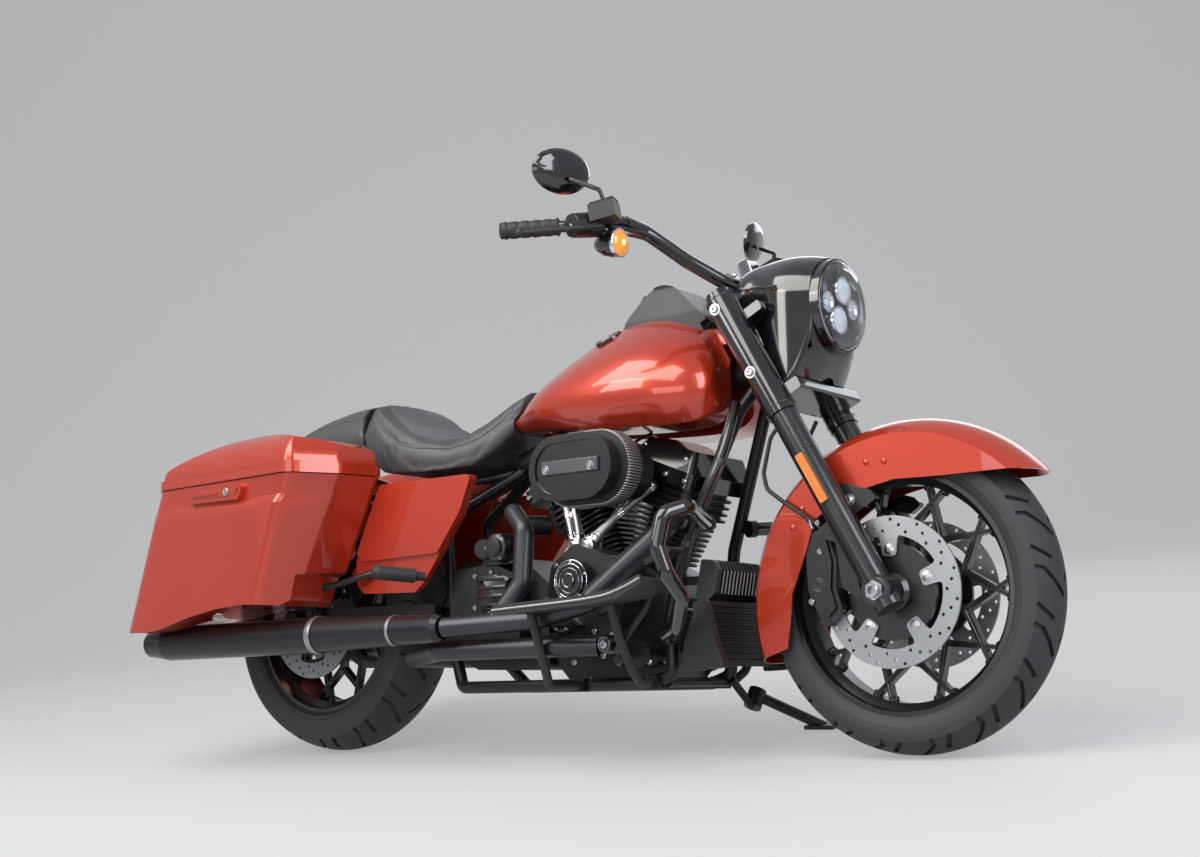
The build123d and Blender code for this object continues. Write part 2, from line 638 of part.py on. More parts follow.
def fuel_tank():
    faces = []
    for row in TANK_STATIONS:
        faces.append(tank_section(*row))
    tunnel = slab([(560, 600), (560, 732), (900, 806), (1180, 866), (1290, 900), (1290, 600)], -44, 44)
    return loft(faces) - tunnel - legs_at_lock(38)


def console():
    side = slab([(958, 900), (966, 958), (1016, 1012), (1050, 1036), (1092, 1032), (1190, 940), (1176, 890)],
                -64, 64, [0, 50, 60, 45, 60, 20, 0])
    front = front_slab([(-62, 860), (-62, 960), (-48, 1046), (48, 1046), (62, 960), (62, 860)],
                       900, 1210, [0, 80, 38, 38, 80, 0])
    return (side & front) - fuel_tank() - block(700, 1400, -50, 50, 600, 900) - legs_at_lock(38)


def seat_section(x, half, z_low, z_edge, z_mid):
    lines = [
        Line((-half + 14, z_low), (half - 14, z_low)),
        ThreePointArc((half - 14, z_low), (half, (z_low + z_edge) / 2), (half - 22, z_edge)),
        ThreePointArc((half - 22, z_edge), (0, z_mid), (22 - half, z_edge)),
        ThreePointArc((22 - half, z_edge), (-half, (z_low + z_edge) / 2), (-half + 14, z_low)),
    ]
    plane = Plane(origin=(x, 0, 0), x_dir=(0, 1, 0), z_dir=(1, 0, 0))
    return plane * make_face(lines)


def seat():
    rider = (  # x, half width, underside z, shoulder z, middle z
        (652, 76, 745, 792, 856), (606, 108, 700, 762, 830), (556, 138, 664, 736, 792),
        (500, 164, 657, 722, 756), (430, 184, 656, 738, 744), (362, 186, 660, 770, 756),
        (300, 174, 668, 812, 800), (252, 160, 694, 846, 854), (226, 152, 710, 842, 860))
    pillion = (
        (212, 150, 714, 838, 862), (120, 146, 722, 834, 862), (20, 138, 732, 820, 848),
        (-70, 122, 742, 800, 824), (-114, 96, 752, 786, 806))
    shapes = []
    for rows in (rider, pillion):
        faces = []
        for row in rows:
            faces.append(seat_section(*row))
        shapes.append(loft(faces, ruled=True))
    tank_tail = loft([tank_section(x, base + 3, z_base - 8, wide + 3, z_wide, top + 4, shoulder + 5, z_top + 7)
                      for x, base, z_base, wide, z_wide, top, shoulder, z_top in TANK_STATIONS[:2]])
    shapes[0] = shapes[0] - tank_tail
    return Compound(children=shapes)


def side_covers():
    outline = [(640, 632), (347, 632), (260, 452), (264, 396), (287, 376), (455, 371), (482, 392), (600, 540)]
    panel = slab(outline, 196, 212, 10)
    raised = slab([(640, 632), (347, 632), (270, 470), (292, 452), (534, 458), (604, 548)], 205, 222,
                  [10, 14, 12, 12, 12, 60])
    return across(panel + raised)


def rear_fender():
    shell = fender_shell(REAR_AXLE, 378, 116, 4, 112, -103, 158)
    tail = slab([(-250, 330), (-420, 330), (-420, 244), (-340, 250), (-250, 300)], -200, 200, 12)
    nose = slab([(240, 400), (400, 300), (400, 620), (330, 640)], -200, 200)
    return shell - nose & block(-400, 330, -200, 200, 250, 800)


BAG_SECTIONS = (  # height; corners: inner front, front crease, outer fold, outer rear, rear, inner rear
    (290, (170, 212), (148, 330), (110, 414), (-378, 392), (-434, 346), (-440, 212)),
    (584, (314, 212), (292, 330), (229, 441), (-262, 405), (-330, 352), (-338, 212)),
    (604, (322, 212), (300, 330), (236, 432), (-256, 402), (-324, 352), (-331, 212)),
    (650, (345, 212), (323, 330), (262, 439), (-240, 402), (-306, 352), (-314, 212)))
BAG_RADII = (14, 44, 30, 60, 34, 14)
BAG_HEM = (  # lower edge of the outer skin, x and z
    (-470, 309), (-380, 302), (-300, 300), (-240, 306), (-130, 330), (-20, 346), (80, 353), (160, 349),
    (176, 362), (200, 420), (400, 470))


def bag_hem(lift):
    """Everything under the bag's curved lower edge."""
    edge = [(x, z + lift) for x, z in BAG_HEM]
    return slab(edge + [(400, 200), (-470, 200)], 150, 520)


def saddlebag():
    outer = []
    inner = []
    for z, *corners in BAG_SECTIONS:
        face = rounded(corners, BAG_RADII)
        outer.append(Pos(0, 0, z) * face)
        inner.append(Pos(0, 0, z) * offset(face, amount=-WALL))
    shell = loft(outer, ruled=True) - bag_hem(0)
    hollow = loft(inner, ruled=True) - bag_hem(WALL)
    bay = rod((-600, 290, 276), (500, 290, 281), 54)
    bay_skin = rod((-600, 290, 276), (500, 290, 281), 54 + WALL)
    latch_outline = [(-112, 606), (88, 602), (112, 640), (-104, 646)]
    latch = Pos(-110, 413, 0) * Rot(0, 0, 4.2) * Pos(110, 0, 0) * slab(latch_outline, -6, 9, [5, 5, 14, 5])
    return shell - (hollow - bay_skin) - bay + (latch - hollow)


def bag_rim(z, grow):
    """Lid outline at height z, grown or shrunk from the bag's top edge."""
    return Pos(0, 0, z) * offset(rounded(BAG_SECTIONS[3][1:], BAG_RADII), amount=grow)


LID_CROWN = (  # height, inset from the bag's top edge
    (674, -3.5), (690, -5.5), (704, -9.0), (716, -14.0), (727, -20.5), (737, -28.5), (746, -38.0),
    (754, -49.0), (766, -70.0))


def bag_lid():
    lip = extrude(bag_rim(652, 4.0), amount=23)
    step = extrude(bag_rim(651.9, -3.5), amount=29)
    bead = rod(LID_HINGE_REAR, LID_HINGE_FRONT, 4)
    crown = loft([bag_rim(z, inset) for z, inset in LID_CROWN], ruled=True)
    profile = make_face([
        Line((-340, 640), (372, 640)), Line((372, 640), (372, 668)),
        ThreePointArc((372, 668), (330, 712), (256, 739)),
        ThreePointArc((256, 739), (90, 760), (-80, 741)),
        ThreePointArc((-80, 741), (-230, 700), (-322, 660)), Line((-322, 660), (-340, 640))])
    side = Plane(origin=(0, 520, 0), x_dir=(1, 0, 0), z_dir=(0, -1, 0))
    body = (step + crown) & extrude(side * profile, amount=400)
    hollow = Pos(0, 0, -WALL) * (crown & extrude(side * profile, amount=400))
    inside = extrude(bag_rim(650, -3.5 - WALL), amount=26) + (hollow & extrude(bag_rim(640, -3.5 - WALL), amount=130))
    return fuse(lip, body, bead) - inside


def stand_axis():
    """Unit vector that the side stand folds about."""
    deployed = Vector(*STAND_FOOT) - Vector(*STAND_PIVOT)
    return deployed.cross(Vector(*STAND_FOLDED)).normalized()


def side_stand():
    pivot = Vector(*STAND_PIVOT)
    foot = Vector(*STAND_FOOT)
    along = stand_axis()
    leg = rod(pivot, foot, 12)
    boss = rod(pivot - along * 13, pivot + along * 13, 20)
    pad = Pos(*STAND_FOOT) * Rot(LEAN, 0, 0) * Box(74, 56, 14)
    shape = place(fuse(leg, boss, pad) - rod(pivot - along * 30, pivot + along * 30, 8))
    return shape - Pos(0, 0, -500) * Box(4000, 4000, 1000)


# --- the small ones on the chassis -------------------------------------------
def engine_guard():
    loop = [(1122, 128, 248), (1148, 182, 250), (1206, 224, 264), (1262, 284, 320), (1264, 336, 360),
            (1250, 350, 420), (1262, 344, 482), (1290, 296, 500), (1198, 96, 486)]
    return across(bent(loop, 16, 26))


def regulator():
    """Finned block between the downtubes, lying parallel to them."""
    outline = [(0, -43), (30, -43), (46, -24), (46, 26), (34, 43), (0, 43)]
    shape = slab([(0, -41), (16, -41), (16, 41), (0, 41)], -98, 98)
    for side in (-1, 1):
        shape = shape + slab(outline, side * 90 - 8, side * 90 + 8, 8)
    for index in range(12):
        y = -71.5 + index * 13
        shape = shape + slab(outline, y - 2, y + 2)
    return Pos(1176, 0, 368.5) * Rot(0, 11.5, 0) * shape


def oil_cooler():
    cheek = slab([(1174, 174), (1284, 179), (1262, 232), (1238, 318), (1222, 322), (1186, 240)], 148, 168, 6)
    core = block(1196, 1226, -148, 148, 184, 318)
    stack = core
    for index in range(10):
        z = 190 + index * 13
        stack = stack + block(1190, 1236, -146, 146, z, z + 4)
    return fuse(stack, cheek, mirror(cheek, about=Plane.XZ))


def footboards():
    board = slab([(862, 301), (1100, 312), (1180, 322), (1238, 348), (1233, 358), (1176, 333), (1100, 323),
                  (862, 312)], 272, 392, 2)
    edge = slab([(856, 296), (1100, 307), (1182, 317), (1244, 345), (1238, 362), (1176, 337), (1100, 327),
                 (856, 317)], 388, 396, 2)
    front_arm = bent([(1076, 140.2, 152), (1076, 176, 152), (1084, 214, 176), (1090, 268, 246),
                      (1094, 300, 314)], 10, 14)
    rear_arm = bent([(880, 140.2, 150), (880, 240, 150), (880, 300, 304)], 10, 16)
    peg = lathe((503, 230, 404), (436, 336, 414), [(0, 10), (22, 12), (24, 17), (110, 17), (124, 11)])
    return across(Compound(children=[fuse(board, edge, front_arm, rear_arm), peg]))


def foot_pedals():
    brake = bent([(1010, -150, 206), (1060, -236, 222), (1150, -256, 300), (1212, -258, 398)], 8, 22)
    brake_pad = slab([(1178, 386), (1244, 412), (1240, 424), (1174, 398)], -292, -246, 4)
    shift = bent([(1076, 150, 214), (1090, 236, 250), (1170, 256, 352), (1214, 257, 420)], 7, 22)
    shift_peg = rod((1214, 250, 420), (1214, 304, 420), 11)
    return Compound(children=[fuse(brake, brake_pad), fuse(shift, shift_peg)])


def tail_lamp():
    return block(-448, -396, -55, 55, 560, 630)


def rear_signals():
    pod = cone((-452, 150, 560), (-490, 150, 560), 29, 20)
    stem = rod((-470, 60, 560), (-470, 124, 560), 8)
    return across(pod + stem)


def plate_bracket():
    plate = slab([(-506, 372), (-501, 372), (-461, 520), (-466, 520)], -90, 90)
    arm = slab([(-388, 500), (-388, 530), (-470, 520), (-466, 500)], -30, 30)
    return plate + arm


def rear_caliper():
    body = slab([(90, 390), (130, 372), (150, 410), (112, 440), (84, 424)], -132, -84, 6)
    return body - disc(0, REAR_TYRE_RADIUS, 152, -114, -102)


def drive_belt():
    """Toothed belt from the gearbox sprocket back to the wheel pulley."""
    big = (0.0, REAR_TYRE_RADIUS, 117.5)
    small = (505.0, 350.0, 47.0)
    outer = make_hull((Pos(big[0], big[1]) * Circle(big[2])).edges()
                      + (Pos(small[0], small[1]) * Circle(small[2])).edges())
    inner = make_hull((Pos(big[0], big[1]) * Circle(big[2] - 3)).edges()
                      + (Pos(small[0], small[1]) * Circle(small[2] - 3)).edges())
    side = Plane(origin=(0, 109.5, 0), x_dir=(1, 0, 0), z_dir=(0, -1, 0))
    return extrude(side * (outer - inner), amount=15)


NODES = (
    ("frame", frame), ("swingarm", swingarm), ("shocks", shocks), ("crankcase", crankcase),
    ("cylinders", cylinders), ("rocker_covers", rocker_covers), ("pushrod_tubes", pushrod_tubes),
    ("primary_cover", primary_cover), ("gearbox", gearbox), ("air_cleaner", air_cleaner),
    ("air_filter", air_filter), ("exhaust_headers", exhaust_headers), ("mufflers", mufflers),
    ("fuel_tank", fuel_tank), ("console", console), ("seat", seat), ("side_covers", side_covers),
    ("rear_fender", rear_fender), ("engine_guard", engine_guard), ("regulator", regulator),
    ("oil_cooler", oil_cooler), ("footboards", footboards), ("foot_pedals", foot_pedals),
    ("tail_lamp", tail_lamp), ("rear_signals", rear_signals), ("plate_bracket", plate_bracket),
    ("rear_caliper", rear_caliper), ("drive_belt", drive_belt), ("fork_legs", fork_legs),
    ("fork_covers", fork_covers), ("nacelle", nacelle), ("headlamp", headlamp),
    ("headlamp_lens", headlamp_lens), ("handlebar", handlebar), ("grips", grips),
    ("hand_controls", hand_controls), ("mirrors", mirrors), ("front_signals", front_signals),
    ("front_fender", front_fender), ("front_calipers", front_calipers), ("reflectors", reflectors),
    ("brake_lines", brake_lines), ("front_tyre", front_tyre), ("front_wheel", front_wheel),
    ("front_rotors", front_rotors), ("rear_tyre", rear_tyre), ("rear_wheel", rear_wheel),
    ("rear_rotor", rear_rotor), ("rear_pulley", rear_pulley),
)


def main():
    os.makedirs("parts", exist_ok=True)
    for name, build in NODES:
        export_step(place(build()), "parts/" + name + ".step")
    bag = saddlebag()
    lid = bag_lid()
    export_step(place(bag), "parts/saddlebag_left.step")
    export_step(place(mirror(bag, about=Plane.XZ)), "parts/saddlebag_right.step")
    export_step(place(lid), "parts/bag_lid_left.step")
    export_step(place(mirror(lid, about=Plane.XZ)), "parts/bag_lid_right.step")
    export_step(side_stand(), "parts/side_stand.step")


if __name__ == "__main__":
    main()
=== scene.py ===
import bpy
import bmesh
import json
from math import sin, cos, exp, pi, radians, atan2
from mathutils import Matrix, Vector, kdtree
from mathutils.bvhtree import BVHTree


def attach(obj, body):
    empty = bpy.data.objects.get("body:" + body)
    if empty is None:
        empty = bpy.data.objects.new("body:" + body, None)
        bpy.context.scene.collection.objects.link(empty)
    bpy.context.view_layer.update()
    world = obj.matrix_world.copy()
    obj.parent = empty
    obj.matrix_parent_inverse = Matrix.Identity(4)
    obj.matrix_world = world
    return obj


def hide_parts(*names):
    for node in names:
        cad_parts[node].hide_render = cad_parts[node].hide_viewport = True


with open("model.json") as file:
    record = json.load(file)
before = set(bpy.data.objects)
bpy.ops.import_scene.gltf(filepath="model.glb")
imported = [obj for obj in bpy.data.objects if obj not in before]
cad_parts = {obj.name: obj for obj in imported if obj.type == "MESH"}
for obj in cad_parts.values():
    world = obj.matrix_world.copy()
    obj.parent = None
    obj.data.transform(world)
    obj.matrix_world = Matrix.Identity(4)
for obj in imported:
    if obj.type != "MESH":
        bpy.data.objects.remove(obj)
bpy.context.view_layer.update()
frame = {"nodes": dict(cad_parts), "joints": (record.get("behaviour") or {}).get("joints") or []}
joints = {joint["name"]: joint for joint in frame["joints"]}
axleLine = Vector(joints["rear_wheel_spin"]["axis"])
rearAxle = Vector(joints["rear_wheel_spin"]["pos_m"])
frontAxle = Vector(joints["front_wheel_spin"]["pos_m"])
frontRadius, rearRadius = 319.0, 327.5
leanAngle = atan2(-axleLine.z, axleLine.y)

# the machine's own frame, in millimetres: x forward, y to its left, z up, under the rear axle
machine = (Matrix.Translation(rearAxle) @ Matrix.Rotation(-leanAngle, 4, "X")
           @ Matrix.Translation((0, 0, -rearRadius / 1000)) @ Matrix.Scale(0.001, 4))
wheelbase = (frontAxle - rearAxle).length * 1000
frontHub = Vector((wheelbase, 0, frontRadius))
rearHub = Vector((0, 0, rearRadius))
print("frame loaded, lean", round(leanAngle * 180 / pi, 1))


# materials: each finish is one dictionary
def node(tree, kind, **values):
    made = tree.nodes.new(kind)
    for name, value in values.items():
        if name in made.inputs:
            made.inputs[name].default_value = value
        else:
            setattr(made, name, value)
    return made


def newFinish(name, spec):
    material = bpy.data.materials.new(name)
    material.use_nodes = True
    tree = material.node_tree
    shader = tree.nodes["Principled BSDF"]
    shader.inputs["Metallic"].default_value = spec.get("metal", 0.0)
    shader.inputs["Roughness"].default_value = spec["rough"]
    shader.inputs["Base Color"].default_value = (*spec["color"], 1)
    shader.inputs["Coat Weight"].default_value = spec.get("coat", 0.0)
    shader.inputs["Coat Roughness"].default_value = spec.get("coatRough", 0.03)
    shader.inputs["IOR"].default_value = spec.get("ior", 1.5)
    shader.inputs["Transmission Weight"].default_value = spec.get("clear", 0.0)
    if "glow" in spec:
        shader.inputs["Emission Color"].default_value = (*spec["glow"], 1)
        shader.inputs["Emission Strength"].default_value = spec["glowPower"]
    place = node(tree, "ShaderNodeTexCoord")
    cloud = node(tree, "ShaderNodeTexNoise", Scale=spec.get("cloudScale", 9.0), Detail=5.0)
    tree.links.new(place.outputs["Object"], cloud.inputs["Vector"])
    darker = [channel * (1 - spec.get("vary", 0.12)) for channel in spec["color"]]
    lighter = [min(1, channel * (1 + spec.get("vary", 0.12))) for channel in spec["color"]]
    tint = node(tree, "ShaderNodeMix", data_type="RGBA")
    tint.inputs["A"].default_value = (*darker, 1)
    tint.inputs["B"].default_value = (*lighter, 1)
    tree.links.new(cloud.outputs["Fac"], tint.inputs["Factor"])
    tree.links.new(tint.outputs["Result"], shader.inputs["Base Color"])
    wear = node(tree, "ShaderNodeMapRange")
    wear.inputs["To Min"].default_value = max(0.02, spec["rough"] - spec.get("roughVary", 0.05))
    wear.inputs["To Max"].default_value = min(1.0, spec["rough"] + spec.get("roughVary", 0.05))
    tree.links.new(cloud.outputs["Fac"], wear.inputs["Value"])
    tree.links.new(wear.outputs["Result"], shader.inputs["Roughness"])
    if spec.get("bump", 0):
        if spec.get("pattern") == "cells":
            grain = node(tree, "ShaderNodeTexVoronoi", Scale=spec["grainScale"])
            out = grain.outputs["Distance"]
        else:
            grain = node(tree, "ShaderNodeTexNoise", Scale=spec["grainScale"], Detail=3.0)
            out = grain.outputs["Fac"]
        tree.links.new(place.outputs["Object"], grain.inputs["Vector"])
        bump = node(tree, "ShaderNodeBump", Strength=spec["bump"], Distance=spec.get("depth", 0.0004))
        tree.links.new(out, bump.inputs["Height"])
        tree.links.new(bump.outputs["Normal"], shader.inputs["Normal"])
    return material


finishes = {
    "paint": dict(color=(0.50, 0.036, 0.010), metal=0.40, rough=0.30, coat=1.0, coatRough=0.02, vary=0.07,
                  cloudScale=2.2, roughVary=0.03, bump=0.05, grainScale=2600.0, depth=0.0001),
    "glossBlack": dict(color=(0.006, 0.006, 0.008), rough=0.16, coat=1.0, coatRough=0.02, vary=0.2,
                       roughVary=0.04, bump=0.03, grainScale=900.0, depth=0.0001),
    "satinBlack": dict(color=(0.012, 0.012, 0.014), metal=0.25, rough=0.34, vary=0.2, bump=0.12,
                       grainScale=1400.0, depth=0.0002),
    "ceramicBlack": dict(color=(0.026, 0.027, 0.031), metal=0.55, rough=0.30, vary=0.25, cloudScale=5.0,
                         roughVary=0.08, bump=0.10, grainScale=1600.0, depth=0.0002),
    # satin ceramic for the headers, more metallic than the mufflers; its lighter tone is partly a painted highlight
    "ceramicSatinAndHighlight": dict(color=(0.055, 0.057, 0.064), metal=0.75, rough=0.34, vary=0.3, cloudScale=4.0,
                        roughVary=0.08, bump=0.10, grainScale=1600.0, depth=0.0002),
    "wrinkleBlack": dict(color=(0.009, 0.009, 0.011), rough=0.38, vary=0.3, bump=0.35, pattern="cells",
                         grainScale=620.0, depth=0.0005),
    "finEdge": dict(color=(0.62, 0.62, 0.64), metal=1.0, rough=0.24, vary=0.1, bump=0.1, grainScale=900.0,
                    depth=0.0002),
    "chrome": dict(color=(0.78, 0.78, 0.80), metal=1.0, rough=0.07, vary=0.04, roughVary=0.03),
    "brushedSteel": dict(color=(0.34, 0.35, 0.36), metal=0.9, rough=0.38, vary=0.10, cloudScale=14.0,
                         bump=0.15, grainScale=700.0, depth=0.0002),
    "zincBolt": dict(color=(0.48, 0.48, 0.50), metal=1.0, rough=0.28, vary=0.15, cloudScale=60.0),
    "tyreRubber": dict(color=(0.030, 0.031, 0.034), rough=0.62, vary=0.25, cloudScale=7.0, roughVary=0.08,
                       bump=0.25, grainScale=900.0, depth=0.0004),
    "softRubber": dict(color=(0.020, 0.020, 0.022), rough=0.58, vary=0.2, bump=0.2, grainScale=1200.0,
                       depth=0.0003),
    "seatVinyl": dict(color=(0.058, 0.059, 0.063), rough=0.46, vary=0.14, cloudScale=6.0, roughVary=0.07,
                      bump=0.30, pattern="cells", grainScale=780.0, depth=0.0004),
    "blackPlastic": dict(color=(0.015, 0.015, 0.017), rough=0.50, vary=0.2, bump=0.18, grainScale=1100.0,
                         depth=0.0003),
    # near-black and matte: painted shade inside the muffler tips and in the seat strap's gap, and the black dial face
    "blackAndPaintedShade": dict(color=(0.004, 0.004, 0.004), rough=0.8, vary=0.1),
    "filterPleat": dict(color=(0.50, 0.51, 0.53), metal=0.85, rough=0.33, vary=0.12, bump=0.1,
                        grainScale=800.0, depth=0.0002),
    "amberLens": dict(color=(0.75, 0.20, 0.02), rough=0.22, coat=1.0, vary=0.1, bump=0.3, pattern="cells",
                      grainScale=300.0, depth=0.0006),
    "amberGlow": dict(color=(0.85, 0.30, 0.03), rough=0.18, coat=1.0, glow=(1.0, 0.36, 0.04), glowPower=0.45,
                      bump=0.35, pattern="cells", grainScale=170.0, depth=0.0008),
    "bulbGlow": dict(color=(1.0, 0.80, 0.45), rough=0.3, glow=(1.0, 0.72, 0.30), glowPower=1.0),
    "redLens": dict(color=(0.42, 0.008, 0.006), rough=0.18, coat=1.0, vary=0.1, bump=0.3, pattern="cells",
                    grainScale=260.0, depth=0.0006),
    "clearGlass": dict(color=(0.95, 0.97, 1.0), rough=0.03, clear=1.0, ior=1.45, vary=0.01, roughVary=0.01),
    "mirrorGlass": dict(color=(0.75, 0.78, 0.82), metal=1.0, rough=0.03, vary=0.02, roughVary=0.01),
    "lampBowl": dict(color=(0.80, 0.82, 0.86), metal=1.0, rough=0.12, vary=0.05),
    "lampShade": dict(color=(0.10, 0.10, 0.11), metal=0.9, rough=0.25, vary=0.1),
    "lampGlow": dict(color=(0.72, 0.76, 0.84), rough=0.16, coat=1.0, glow=(0.85, 0.92, 1.0), glowPower=0.22),
    "castBlack": dict(color=(0.010, 0.010, 0.012), rough=0.28, coat=0.5, coatRough=0.12, vary=0.2, bump=0.14,
                      grainScale=700.0, depth=0.0003),
    "castGrey": dict(color=(0.060, 0.061, 0.066), metal=0.55, rough=0.36, vary=0.15, bump=0.14,
                     grainScale=800.0, depth=0.0003),
    "bandGrey": dict(color=(0.085, 0.087, 0.094), metal=0.7, rough=0.34, vary=0.10, cloudScale=20.0, bump=0.12,
                     grainScale=1500.0, depth=0.0002),
    "bootRed": dict(color=(0.36, 0.012, 0.012), rough=0.42, vary=0.1, bump=0.1, grainScale=600.0, depth=0.0002),
    "stitch": dict(color=(0.09, 0.09, 0.095), rough=0.7, vary=0.1),
}
made = {name: newFinish(name, spec) for name, spec in finishes.items()}
print("finishes made:", len(made))

# finishes of the nodes that show as they are
nodeFinish = {
    "glossBlack": ["engine_guard", "handlebar", "rocker_covers", "front_signals", "headlamp", "fork_covers"],
    "satinBlack": ["frame", "swingarm", "side_stand", "plate_bracket", "air_cleaner", "rear_signals",
                   "rear_caliper", "foot_pedals"],
    "castBlack": ["front_calipers", "front_wheel", "rear_wheel", "fork_legs"],
    "ceramicBlack": ["mufflers"],
    "ceramicSatinAndHighlight": ["exhaust_headers"],
    "wrinkleBlack": ["crankcase", "cylinders", "primary_cover", "gearbox"],
    "castGrey": ["regulator"],
    "brushedSteel": ["rear_pulley", "pushrod_tubes"],
    "softRubber": ["footboards", "grips", "drive_belt", "brake_lines"],
    "blackPlastic": ["oil_cooler", "shocks", "hand_controls", "air_filter"],
    "amberLens": ["reflectors"],
    "clearGlass": ["headlamp_lens"],
}
for finishName, names in nodeFinish.items():
    for name in names:
        materials = frame["nodes"][name].data.materials
        materials.clear()
        materials.append(made[finishName])
print("nodes finished")


# small makers, all in the machine's millimetres
def addRod(bm, start, end, radius, endRadius=None, segments=24):
    start, end = Vector(start), Vector(end)
    turn = (end - start).to_track_quat("Z", "Y").to_matrix().to_4x4()
    return bmesh.ops.create_cone(bm, cap_ends=True, segments=segments, radius1=radius,
                                 radius2=radius if endRadius is None else endRadius,
                                 depth=(end - start).length,
                                 matrix=Matrix.Translation((start + end) / 2) @ turn)["verts"]


def addLathe(bm, start, toward, profile, steps=48):
    # profile pairs are (along, radius)
    start = Vector(start)
    turn = (Vector(toward) - start).to_track_quat("Z", "Y").to_matrix().to_4x4()
    verts = [bm.verts.new((radius, 0, along)) for along, radius in profile]
    edges = [bm.edges.new(pair) for pair in zip(verts, verts[1:])]
    before = set(bm.verts) - set(verts)
    bmesh.ops.spin(bm, geom=verts + edges, cent=(0, 0, 0), axis=(0, 0, 1), angle=2 * pi, steps=steps,
                   use_merge=True)
    fresh = [v for v in bm.verts if v not in before]
    bmesh.ops.remove_doubles(bm, verts=fresh, dist=0.01)
    fresh = [v for v in bm.verts if v not in before]
    bmesh.ops.transform(bm, matrix=Matrix.Translation(start) @ turn, verts=fresh)
    return fresh


def addBox(bm, centre, size, turn=None, bevel=0.0, segments=2):
    place = Matrix.Translation(centre) @ (turn.to_4x4() if turn else Matrix.Identity(4))
    verts = bmesh.ops.create_cube(bm, size=1, matrix=place @ Matrix.Diagonal((*size, 1)))["verts"]
    if bevel:
        edges = list({e for v in verts for e in v.link_edges})
        bmesh.ops.bevel(bm, geom=edges, offset=bevel, segments=segments, profile=0.5, affect="EDGES",
                        material=-1)
    return verts


def addBolt(bm, at, out, radius, height):
    # button head with a hex socket
    at, out = Vector(at), Vector(out).normalized()
    addLathe(bm, at, at + out, [(0, 0), (0, radius), (height * 0.55, radius), (height, radius * 0.72),
                                (height, radius * 0.42), (height * 0.35, radius * 0.40), (height * 0.35, 0)],
             steps=14)


def addTube(bm, points, radius, around=3, smooth=5):
    curve = bpy.data.curves.new("line", "CURVE")
    curve.dimensions = "3D"
    curve.bevel_depth = radius
    curve.bevel_resolution = around
    curve.resolution_u = smooth
    curve.use_fill_caps = True
    spline = curve.splines.new("NURBS")
    spline.points.add(len(points) - 1)
    for point, spot in zip(spline.points, points):
        point.co = (*spot, 1)
    spline.order_u = 3
    spline.use_endpoint_u = True
    holder = bpy.data.objects.new("line", curve)
    bpy.context.scene.collection.objects.link(holder)
    bpy.context.view_layer.update()
    mesh = bpy.data.meshes.new_from_object(holder.evaluated_get(bpy.context.evaluated_depsgraph_get()))
    bm.from_mesh(mesh)
    bpy.data.objects.remove(holder)
    bpy.data.curves.remove(curve)
    bpy.data.meshes.remove(mesh)


def addPiece(name, bm, body, finish, sharp=28, replaces=(), inRecord=False):
    bmesh.ops.recalc_face_normals(bm, faces=bm.faces)
    for face in bm.faces:
        face.smooth = True
    for edge in bm.edges:
        edge.smooth = len(edge.link_faces) == 2 and edge.calc_face_angle(0) < radians(sharp)
    if not inRecord:
        bm.transform(machine)
    mesh = bpy.data.meshes.new(name)
    bm.to_mesh(mesh)
    bm.free()
    mesh.materials.append(made[finish])
    piece = bpy.data.objects.new(name, mesh)
    bpy.context.scene.collection.objects.link(piece)
    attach(piece, body)
    if replaces:
        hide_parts(*replaces)
    return piece


def nodeMesh(name):
    # merged copy of a frame node, in record metres
    bm = bmesh.new()
    bm.from_mesh(frame["nodes"][name].data)
    bmesh.ops.remove_doubles(bm, verts=bm.verts, dist=1e-6)
    return bm


def carved(bm, cutter, selfCrossing=False):
    # bm less cutter, by an exact boolean
    holders = []
    for source in (bm, cutter):
        mesh = bpy.data.meshes.new("cut")
        bmesh.ops.recalc_face_normals(source, faces=source.faces)
        source.to_mesh(mesh)
        source.free()
        holder = bpy.data.objects.new("cut", mesh)
        bpy.context.scene.collection.objects.link(holder)
        holders.append(holder)
    cut = holders[0].modifiers.new("cut", "BOOLEAN")
    cut.operation = "DIFFERENCE"
    cut.solver = "EXACT"
    cut.use_self = selfCrossing
    cut.object = holders[1]
    bpy.context.view_layer.update()
    result = bpy.data.meshes.new_from_object(holders[0].evaluated_get(bpy.context.evaluated_depsgraph_get()))
    out = bmesh.new()
    out.from_mesh(result)
    for holder in holders:
        bpy.data.objects.remove(holder)
    return out


bothSides = (-1, 1)


def newMeshes(count):
    return [bmesh.new() for _ in range(count)]


def sideWord(side):
    return "left" if side > 0 else "right"


def onSide(spot, side):
    # a point given for the left, mirrored for the right
    return Vector((spot[0], side * spot[1], spot[2]))


def turnedPiece(name, at, out, profile, steps, body, finish):
    bm = bmesh.new()
    addLathe(bm, at, at + out, profile, steps=steps)
    addPiece(name, bm, body, finish)


# tyres: a turned carcass with slanted grooves cut into the tread
tyreSpecs = {
    "frontTyre": dict(hub=frontHub, radius=frontRadius, drop=27.0, half=65.0, bead=240.0, beadHalf=50.0,
                      grooves=34, wide=9.5, body="front_wheel", node="front_tyre"),
    "rearTyre": dict(hub=rearHub, radius=rearRadius, drop=30.0, half=90.0, bead=228.0, beadHalf=70.0,
                     grooves=30, wide=10.0, body="rear_wheel", node="rear_tyre"),
}
# each cut runs from (share of the half width, degrees round) to another
grooves = dict(long=((0.06, -3.5, 0.40, 1.0), (0.40, 1.0, 0.72, 5.6), (0.72, 5.6, 0.93, 6.6)),
               short=((0.46, -1.0, 0.92, 3.4),), deep=11, sunk=1.0, spread=0.35, overlap=0.6)


def tyreRadiusAt(spec, y):
    # crown as an arc through the shoulders
    return spec["radius"] - spec["drop"] * (abs(y) / (spec["half"] - 3)) ** 2


